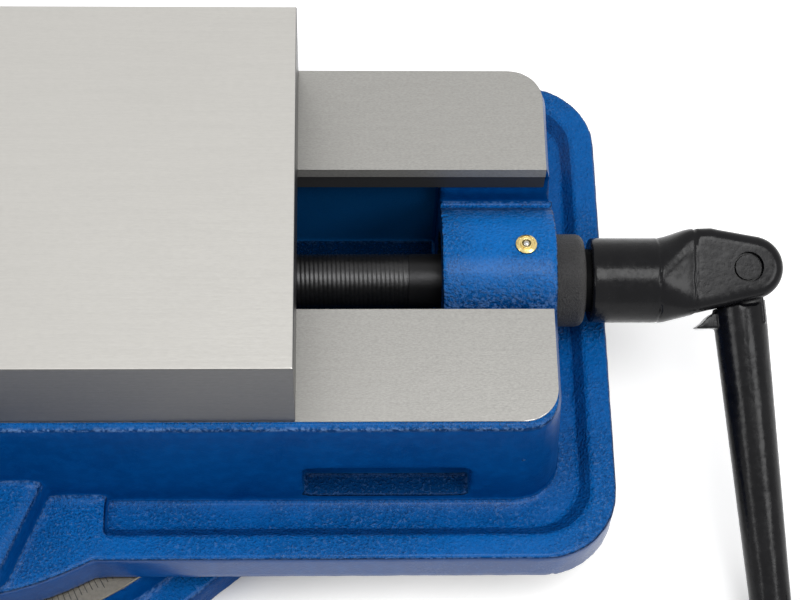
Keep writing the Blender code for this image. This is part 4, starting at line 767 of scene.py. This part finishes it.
def turned_face():
    """Model the base's turned face, whose rim carries the scale."""
    piece = merged_copy("swivel_base", "turned_face")
    bpy.ops.object.select_all(action="DESELECT")
    bpy.ops.mesh.primitive_cylinder_add(vertices=144, radius=RING_RADIUS, depth=RING_DEPTH,
                                        location=(0.0, 0.0, RING_Z - RING_DEPTH / 2 + 0.0001))
    bpy.ops.object.transform_apply(location=True)
    tool = bpy.context.object
    tool.name = "face_outline"
    carve(piece, tool, "INTERSECT")
    round_edges(piece, 0.0)
    ride(piece, "swivel_base", "scale")


EASES = {
    "retaining_collar": 0.0003, "fixed_jaw": 0.0003, "movable_jaw": 0.0003,
    "fixed_jaw_plate": 0.0003, "movable_jaw_plate": 0.0003,
}
CASTINGS = {"vise_body": clear_of_ways, "swivel_base": clear_of_scale}
REMADE = {"handle_hub", "handle_arm", "lead_screw", "oiler_body"}


def local_frame(node_origin, x_axis, z_axis):
    """Give the matrix of a frame at a point with the given X and Z axes."""
    x_axis = Vector(x_axis).normalized()
    z_axis = Vector(z_axis).normalized()
    y_axis = z_axis.cross(x_axis)
    turned = Matrix((x_axis, y_axis, z_axis)).transposed()
    return Matrix.Translation(node_origin) @ turned.to_4x4()


HUB_FRAME = local_frame((HUB_START, 0.0, SCREW_Z), (1.0, 0.0, 0.0), PIN_AXIS)
ARM_FRAME = local_frame(PIN_PLACE, ARM_ACROSS, PIN_AXIS)


def solid_of(outline, low, high, name):
    """Extrude an outline in the XY plane between two heights into a closed solid."""
    bpy.ops.object.select_all(action="DESELECT")
    bpy.ops.mesh.primitive_circle_add(vertices=len(outline), radius=1.0, fill_type="NGON")
    piece = bpy.context.object
    piece.name = name
    for vertex, (x, y) in zip(piece.data.vertices, outline):
        vertex.co = (x, y, low)
    bpy.ops.object.mode_set(mode="EDIT")
    bpy.ops.mesh.select_all(action="SELECT")
    bpy.ops.mesh.extrude_region_move(TRANSFORM_OT_translate={"value": (0.0, 0.0, high - low)})
    bpy.ops.mesh.select_all(action="SELECT")
    bpy.ops.mesh.normals_make_consistent(inside=False)
    bpy.ops.object.mode_set(mode="OBJECT")
    return piece


def tapered_rod(start, end, first, second, sides=48, name="rod"):
    """Add a rod between two points whose radius changes from first to second."""
    start, end = Vector(start), Vector(end)
    along = end - start
    bpy.ops.object.select_all(action="DESELECT")
    bpy.ops.mesh.primitive_cone_add(vertices=sides, radius1=first, radius2=second,
                                    depth=along.length, location=(start + end) / 2,
                                    rotation=along.to_track_quat("Z", "Y").to_euler())
    bpy.ops.object.transform_apply(location=True, rotation=True, scale=True)
    bpy.context.object.name = name
    return bpy.context.object


def fused(pieces, name):
    """Join some closed solids into one object, for a skin that melts them together."""
    bpy.ops.object.select_all(action="DESELECT")
    for piece in pieces:
        piece.select_set(True)
    bpy.context.view_layer.objects.active = pieces[0]
    bpy.ops.object.join()
    pieces[0].name = name
    return pieces[0]


def set_in(piece, matrix):
    """Move a piece from its own drawing into the place where it belongs."""
    piece.data.transform(matrix)


def knuckle_outline():
    """List the knuckle's outline from its waist round the tip to the bulge."""
    points = [(HUB_FLOW - 0.0034, -0.0110), (HUB_FLOW, -0.0141), (0.0432, -0.0134)]
    for step in range(17):
        angle = math.radians(-78.0 + 156.0 * step / 16)
        points.append((PIN_DISTANCE + 0.002 + KNUCKLE_TIP * math.cos(angle),
                       PIN_OFFSET + KNUCKLE_TIP * math.sin(angle)))
    return points + [(0.0500, 0.0202), (0.0475, 0.0208), (HUB_FLOW + 0.0006, 0.0206),
                     (HUB_FLOW - 0.0034, 0.0165)]


def flowing_part():
    """Bridge the hub's round end to the knuckle's flat section."""
    bpy.ops.object.select_all(action="DESELECT")
    bpy.ops.mesh.primitive_cylinder_add(vertices=72, radius=1.0, depth=1.0, end_fill_type="NGON")
    piece = bpy.context.object
    piece.name = "flow"
    pick_edges(piece, lambda first, second: abs(first.z - second.z) > 0.5)
    bpy.ops.mesh.subdivide_edgering(number_cuts=15, interpolation="LINEAR")
    bpy.ops.object.mode_set(mode="OBJECT")
    for vertex in piece.data.vertices:
        share = vertex.co.z + 0.5
        x = HUB_BARREL - 0.0010 + (HUB_FLOW - HUB_BARREL + 0.0010) * share
        swelling = share * share * (3.0 - 2.0 * share)
        top = HUB_RADIUS + 0.0034 * swelling
        low = HUB_RADIUS - 0.0030 * max(0.0, (share - 0.2) / 0.8)
        power = 1.0 - 0.60 * swelling
        y, z = (math.copysign(abs(v) ** power, v) for v in (vertex.co.x, vertex.co.y))
        vertex.co = (x, (top - low) / 2 + y * (top + low) / 2,
                     z * (HUB_RADIUS + (KNUCKLE_HALF + 0.0004 - HUB_RADIUS) * swelling))
    only(piece)
    bpy.ops.object.mode_set(mode="EDIT")
    bpy.ops.mesh.select_all(action="SELECT")
    bpy.ops.mesh.normals_make_consistent(inside=False)
    bpy.ops.object.mode_set(mode="OBJECT")
    return piece


def forged_hub():
    """Model the handle's hub: a round socket that flows into the flat, bulging knuckle."""
    barrel = tapered_rod((HUB_LIP, 0.0, 0.0), (HUB_BARREL, 0.0, 0.0), HUB_RADIUS, HUB_RADIUS, 64)
    lip = tapered_rod((HUB_LIP - 0.0008, 0.0, 0.0), (HUB_LIP + 0.0001, 0.0, 0.0),
                      HUB_RADIUS - 0.0007, HUB_RADIUS, 64)
    plate = solid_of(knuckle_outline(), -KNUCKLE_HALF, KNUCKLE_HALF, "knuckle")
    pick_edges(plate, lambda first, second: first.z * second.z > 0.0)
    bpy.ops.mesh.bevel(offset=KNUCKLE_ROUND, segments=6, profile=0.5, affect="EDGES",
                       clamp_overlap=True)
    bpy.ops.object.mode_set(mode="OBJECT")
    piece = fused([barrel, lip, flowing_part(), plate], "forged_hub")
    resurface(piece, FORGE_VOXEL, 0.0, 8)
    for seam in (HUB_BARREL, HUB_FLOW):
        crease(piece, seam)
    slot = cutter("clevis", (PIN_DISTANCE - CLEVIS_REACH, -0.04, -CLEVIS_HALF),
                  (0.10, 0.04, CLEVIS_HALF))
    carve(piece, slot, "DIFFERENCE")
    socket = tapered_rod((-0.004, 0.0, 0.0), (SOCKET_DEPTH, 0.0, 0.0),
                         SOCKET_RADIUS, SOCKET_RADIUS, 6)
    carve(piece, socket, "DIFFERENCE")
    hole = tapered_rod((PIN_DISTANCE, PIN_OFFSET, -0.03), (PIN_DISTANCE, PIN_OFFSET, 0.03),
                       PIN_BORE, PIN_BORE, 40)
    carve(piece, hole, "DIFFERENCE")
    for side in (-1.0, 1.0):
        ring = tapered_rod((PIN_DISTANCE, PIN_OFFSET, side * (KNUCKLE_HALF - 0.0030)),
                           (PIN_DISTANCE, PIN_OFFSET, side * (KNUCKLE_HALF + 0.0010)),
                           *PIN_RING, 40)
        carve(piece, ring, "DIFFERENCE")
    set_in(piece, HUB_FRAME)
    finish_forging(piece, "handle_hub")


def crease(piece, place):
    """Press the shallow, wavering witness line of a die into a forging."""
    for vertex in piece.data.vertices:
        turn = math.atan2(vertex.co.z, vertex.co.y)
        waver = 0.00025 * math.sin(3.0 * turn) + 0.00015 * math.sin(11.0 * turn)
        away = abs(vertex.co.x - place - waver)
        if away < 0.0007:
            depth = 0.00034 * (1.0 - away / 0.0007)
            vertex.co.y *= 1.0 - depth / HUB_RADIUS
            vertex.co.z *= 1.0 - depth / HUB_RADIUS


def forged_arm():
    """Model the arm: a smooth tapered rod that ends under the knuckle in its eye and stop heel."""
    tip = -ARM_LENGTH
    rod = tapered_rod((-ARM_STEP, tip + 0.006, 0.0), (-ARM_STEP, -0.0240, 0.0), ARM_TIP, ARM_ROOT)
    root = tapered_rod((-ARM_STEP, -0.0242, 0.0), (-ARM_STEP, -0.006, 0.0), ARM_ROOT, ARM_ROOT)
    pick_edges(root, lambda first, second: True)
    bpy.ops.mesh.bisect(plane_co=(-ARM_STEP - ARM_ROOT, -ROOT_TOP, 0.0),
                        plane_no=(-math.sin(ROOT_SLOPE), math.cos(ROOT_SLOPE), 0.0),
                        use_fill=True, clear_outer=True)
    bpy.ops.object.mode_set(mode="OBJECT")
    sweep = tapered_rod((0.0, 0.0, -0.02), (0.0, 0.0, 0.02), KNUCKLE_SWEEP, KNUCKLE_SWEEP, 72)
    carve(root, sweep, "DIFFERENCE")
    web = cutter("web", (-0.0104, -0.0230, -EYE_HALF), (0.0062, -0.0030, EYE_HALF))
    eye = tapered_rod((0.0, 0.0, -EYE_HALF), (0.0, 0.0, EYE_HALF), EYE_RADIUS, EYE_RADIUS, 64)
    heel = solid_of([(-0.0060, -0.0160), (-0.0150, -0.0172), (-0.0172, -0.0186),
                     (-0.0195, -0.0207), (-0.0222, -0.0221), (-0.0218, -0.0227),
                     (-0.0150, -0.0232), (-0.0060, -0.0240)], -0.0050, 0.0050, "heel")
    boss = tapered_rod((-ARM_STEP - 0.0090, tip, 0.0), (-ARM_STEP + 0.0090, tip, 0.0),
                       ARM_BOSS, ARM_BOSS, 48)
    piece = fused([rod, root, web, eye, heel, boss], "forged_arm")
    resurface(piece, FORGE_VOXEL, 0.01, 6)
    hole = tapered_rod((0.0, 0.0, -0.02), (0.0, 0.0, 0.02), 0.0056, 0.0056, 40)
    carve(piece, hole, "DIFFERENCE")
    bolt_hole = tapered_rod((-0.02, tip, 0.0), (0.02, tip, 0.0), 0.0053, 0.0053, 40)
    carve(piece, bolt_hole, "DIFFERENCE")
    set_in(piece, ARM_FRAME)
    finish_forging(piece, "handle_arm")


def finish_forging(piece, node):
    """Smooth a forging's shading, hold it inside its solid's box and let it stand for it."""
    keep_inside(piece, node, 0.0020)
    shade(piece, 40.0)
    ride(piece, node, "enamel")
    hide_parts(node)


def dress_nodes():
    """Put a finished copy in the place of every CAD node that isn't remade on its own."""
    for node in sorted(frame["nodes"]):
        if node in CASTINGS:
            cast(node, CASTINGS[node])
        elif node not in REMADE:
            eased(node, node + "_dressed", EASES.get(node, 0.0001))


def threaded_stretch():
    """Model the screw's fine left-hand thread as one closed helical shell."""
    turns = int((THREAD_END - SCREW_START) / THREAD_PITCH) + 2
    rows = turns * 4
    bpy.ops.object.select_all(action="DESELECT")
    bpy.ops.mesh.primitive_grid_add(x_subdivisions=rows, y_subdivisions=THREAD_SEGMENTS, size=1.0)
    piece = bpy.context.object
    piece.name = "screw_thread"
    start = SCREW_START - THREAD_PITCH
    radii = (THREAD_ROOT, THREAD_CREST, THREAD_CREST, THREAD_ROOT)
    shares = (0.08, 0.30, 0.70, 0.92)
    for vertex in piece.data.vertices:
        row = round((vertex.co.x + 0.5) * rows)
        segment = round((vertex.co.y + 0.5) * THREAD_SEGMENTS)
        turn, step = divmod(row, 4)
        angle = 2 * math.pi * segment / THREAD_SEGMENTS
        along = start + THREAD_PITCH * (turn + shares[step] + 1 - segment / THREAD_SEGMENTS)
        radius = radii[step]
        if not SCREW_START < along < THREAD_END:
            along = min(max(along, SCREW_START), THREAD_END)
            radius = THREAD_ROOT
        vertex.co = (along, radius * math.sin(angle), SCREW_Z + radius * math.cos(angle))
    only(piece)
    bpy.ops.object.mode_set(mode="EDIT")
    bpy.ops.mesh.select_all(action="SELECT")
    bpy.ops.mesh.remove_doubles(threshold=0.000004)
    bpy.ops.mesh.dissolve_degenerate(threshold=0.000002)
    bpy.ops.mesh.select_all(action="DESELECT")
    bpy.ops.mesh.select_mode(type="EDGE")
    bpy.ops.mesh.select_non_manifold()
    bpy.ops.mesh.fill_holes(sides=0)
    bpy.ops.mesh.select_all(action="SELECT")
    bpy.ops.mesh.normals_make_consistent(inside=False)
    bpy.ops.object.mode_set(mode="OBJECT")
    shade(piece, 50.0)
    ride(piece, "lead_screw", "thread")
    return piece


def screw_shaft():
    """Keep the plain end of the screw: thrust shoulder, journal, neck and hexagon."""
    piece = merged_copy("lead_screw", "screw_shaft")
    bpy.ops.object.mode_set(mode="EDIT")
    bpy.ops.mesh.select_all(action="SELECT")
    bpy.ops.mesh.bisect(plane_co=(THREAD_END, 0.0, SCREW_Z), plane_no=(1.0, 0.0, 0.0),
                        use_fill=True, clear_inner=True)
    bpy.ops.object.mode_set(mode="OBJECT")
    round_edges(piece, 0.0003)
    ride(piece, "lead_screw", "shaded_neck_shaft")
    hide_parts("lead_screw")


def ball_oiler():
    """Model the ball oiler's body: a raised rim, a dark groove and a cone that shows the ball."""
    piece = merged_copy("oiler_body", "ball_oiler")
    low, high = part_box("oiler_body")
    x, y = (low.x + high.x) / 2, (low.y + high.y) / 2
    groove = tapered_rod((x, y, high.z - 0.0007), (x, y, high.z + 0.001), 0.0032, 0.0034)
    island = tapered_rod((x, y, high.z - 0.0010), (x, y, high.z + 0.002), 0.0025, 0.0025)
    carve(groove, island, "DIFFERENCE")
    carve(piece, groove, "DIFFERENCE")
    mouth = tapered_rod((x, y, high.z - 0.0009), (x, y, high.z + 0.0002), 0.00125, 0.0021)
    carve(piece, mouth, "DIFFERENCE")
    round_edges(piece, 0.00012)
    ride(piece, "oiler_body", "brass")
    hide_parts("oiler_body")


def scale_ticks():
    """Model the scale's 360 one-degree marks, with longer ones at each five degrees."""
    bpy.ops.object.select_all(action="DESELECT")
    marks = []
    for index in range(5):
        length = TICK_LONG if index == 0 else TICK_SHORT
        angle = math.radians(index)
        middle = TICK_START + length / 2
        place = (middle * math.cos(angle), middle * math.sin(angle), RING_Z + 0.00001)
        bpy.ops.mesh.primitive_cube_add(size=1.0, location=place, rotation=(0.0, 0.0, angle),
                                        scale=(length, TICK_WIDTH, TICK_HEIGHT))
        bpy.ops.object.transform_apply(location=True, rotation=True, scale=True)
        marks.append(bpy.context.object)
    for mark in marks:
        mark.select_set(True)
    bpy.context.view_layer.objects.active = marks[0]
    bpy.ops.object.join()
    piece = bpy.context.object
    piece.name = "scale_marks"
    bpy.ops.object.mode_set(mode="EDIT")
    bpy.ops.mesh.select_all(action="SELECT")
    bpy.ops.mesh.spin(steps=71, dupli=True, angle=math.radians(355.0), center=(0.0, 0.0, 0.0),
                      axis=(0.0, 0.0, 1.0), use_normal_flip=False)
    bpy.ops.mesh.select_all(action="SELECT")
    bpy.ops.mesh.normals_make_consistent(inside=False)
    bpy.ops.object.mode_set(mode="OBJECT")
    ride(piece, "swivel_base", "ink")


def stage_floor():
    """Lay a white floor that keeps the vise's soft shadow, and whose glow carries a painted contact
    shadow near the vise.
    """
    bpy.ops.object.select_all(action="DESELECT")
    bpy.ops.mesh.primitive_plane_add(size=12.0, location=(0.0, 0.0, -0.0001))
    floor = bpy.context.object
    floor.name = "floor"
    bpy.ops.object.transform_apply(location=True)
    recipe = Recipe("floor_white", Base_Color=(0.86, 0.86, 0.86), Roughness=0.9,
                    Emission_Strength=FLOOR_GLOW)
    # Painted shadow: the floor's glow is darkened where the vise occludes it.
    open_sky = recipe.node("ShaderNodeAmbientOcclusion", {}, {"Distance": 0.05}, output="AO")
    glow = recipe.blend(recipe.ramp(open_sky, 0.20, 0.98), (0.1, 0.1, 0.1), (1.0, 1.0, 1.0))
    recipe.feed("Emission Color", recipe.blend(recipe.seen(), (0.0, 0.0, 0.0), glow))
    floor.data.materials.append(recipe.material)


def stage_light():
    """Light the vise with three soft lamps above its near side, and a plain white room."""
    world = bpy.data.worlds.new("room")
    bpy.context.scene.world = world
    world.use_nodes = True
    room = Nodes(world.node_tree)
    background = room.tree.nodes["Background"]
    background.inputs["Color"].default_value = (1.0, 1.0, 1.0, 1.0)
    level = room.node("ShaderNodeMapRange", {}, {"Value": room.seen(), "To Min": ROOM_LEVEL,
                                                 "To Max": 1.0})
    room.tree.links.new(level.socket, background.inputs["Strength"])
    for name, place, size, power in LAMPS:
        lamp = bpy.data.lights.new(name, "AREA")
        lamp.shape = "SQUARE"
        lamp.size = size
        lamp.energy = power
        holder = bpy.data.objects.new(name, lamp)
        aim = Vector((0.1, 0.0, 0.05)) - Vector(place)
        holder.location = place
        holder.rotation_euler = aim.to_track_quat("-Z", "Y").to_euler()
        bpy.context.scene.collection.objects.link(holder)


def stage_camera():
    """Stand the camera where the photograph was taken from."""
    camera = bpy.data.cameras.new("photo_camera")
    camera.sensor_width = SENSOR_WIDTH
    camera.lens = FOCAL_PIXELS / PHOTO_WIDTH * SENSOR_WIDTH
    camera.clip_start = 0.01
    holder = bpy.data.objects.new("photo_camera", camera)
    bpy.context.scene.collection.objects.link(holder)
    cos_tilt, sin_tilt = math.cos(CAMERA_ELEVATION), math.sin(CAMERA_ELEVATION)
    cos_yaw, sin_yaw = math.cos(CAMERA_YAW), math.sin(CAMERA_YAW)
    back = Vector((sin_yaw * cos_tilt, -cos_yaw * cos_tilt, sin_tilt))
    right = Vector((cos_yaw, sin_yaw, 0.0))
    up = back.cross(right)
    turn = Matrix.Rotation(-CAMERA_ROLL, 3, "Z")
    level = Matrix((right, up, back))
    holder.matrix_world = Matrix.Translation(CAMERA_PLACE) @ (turn @ level).transposed().to_4x4()
    bpy.context.scene.camera = holder


bpy.context.scene.view_settings.view_transform = "Standard"
dress_nodes()
forged_hub()
forged_arm()
ground_ways()
turned_face()
threaded_stretch()
screw_shaft()
scale_ticks()
ball_oiler()
stage_floor()
stage_light()
stage_camera()
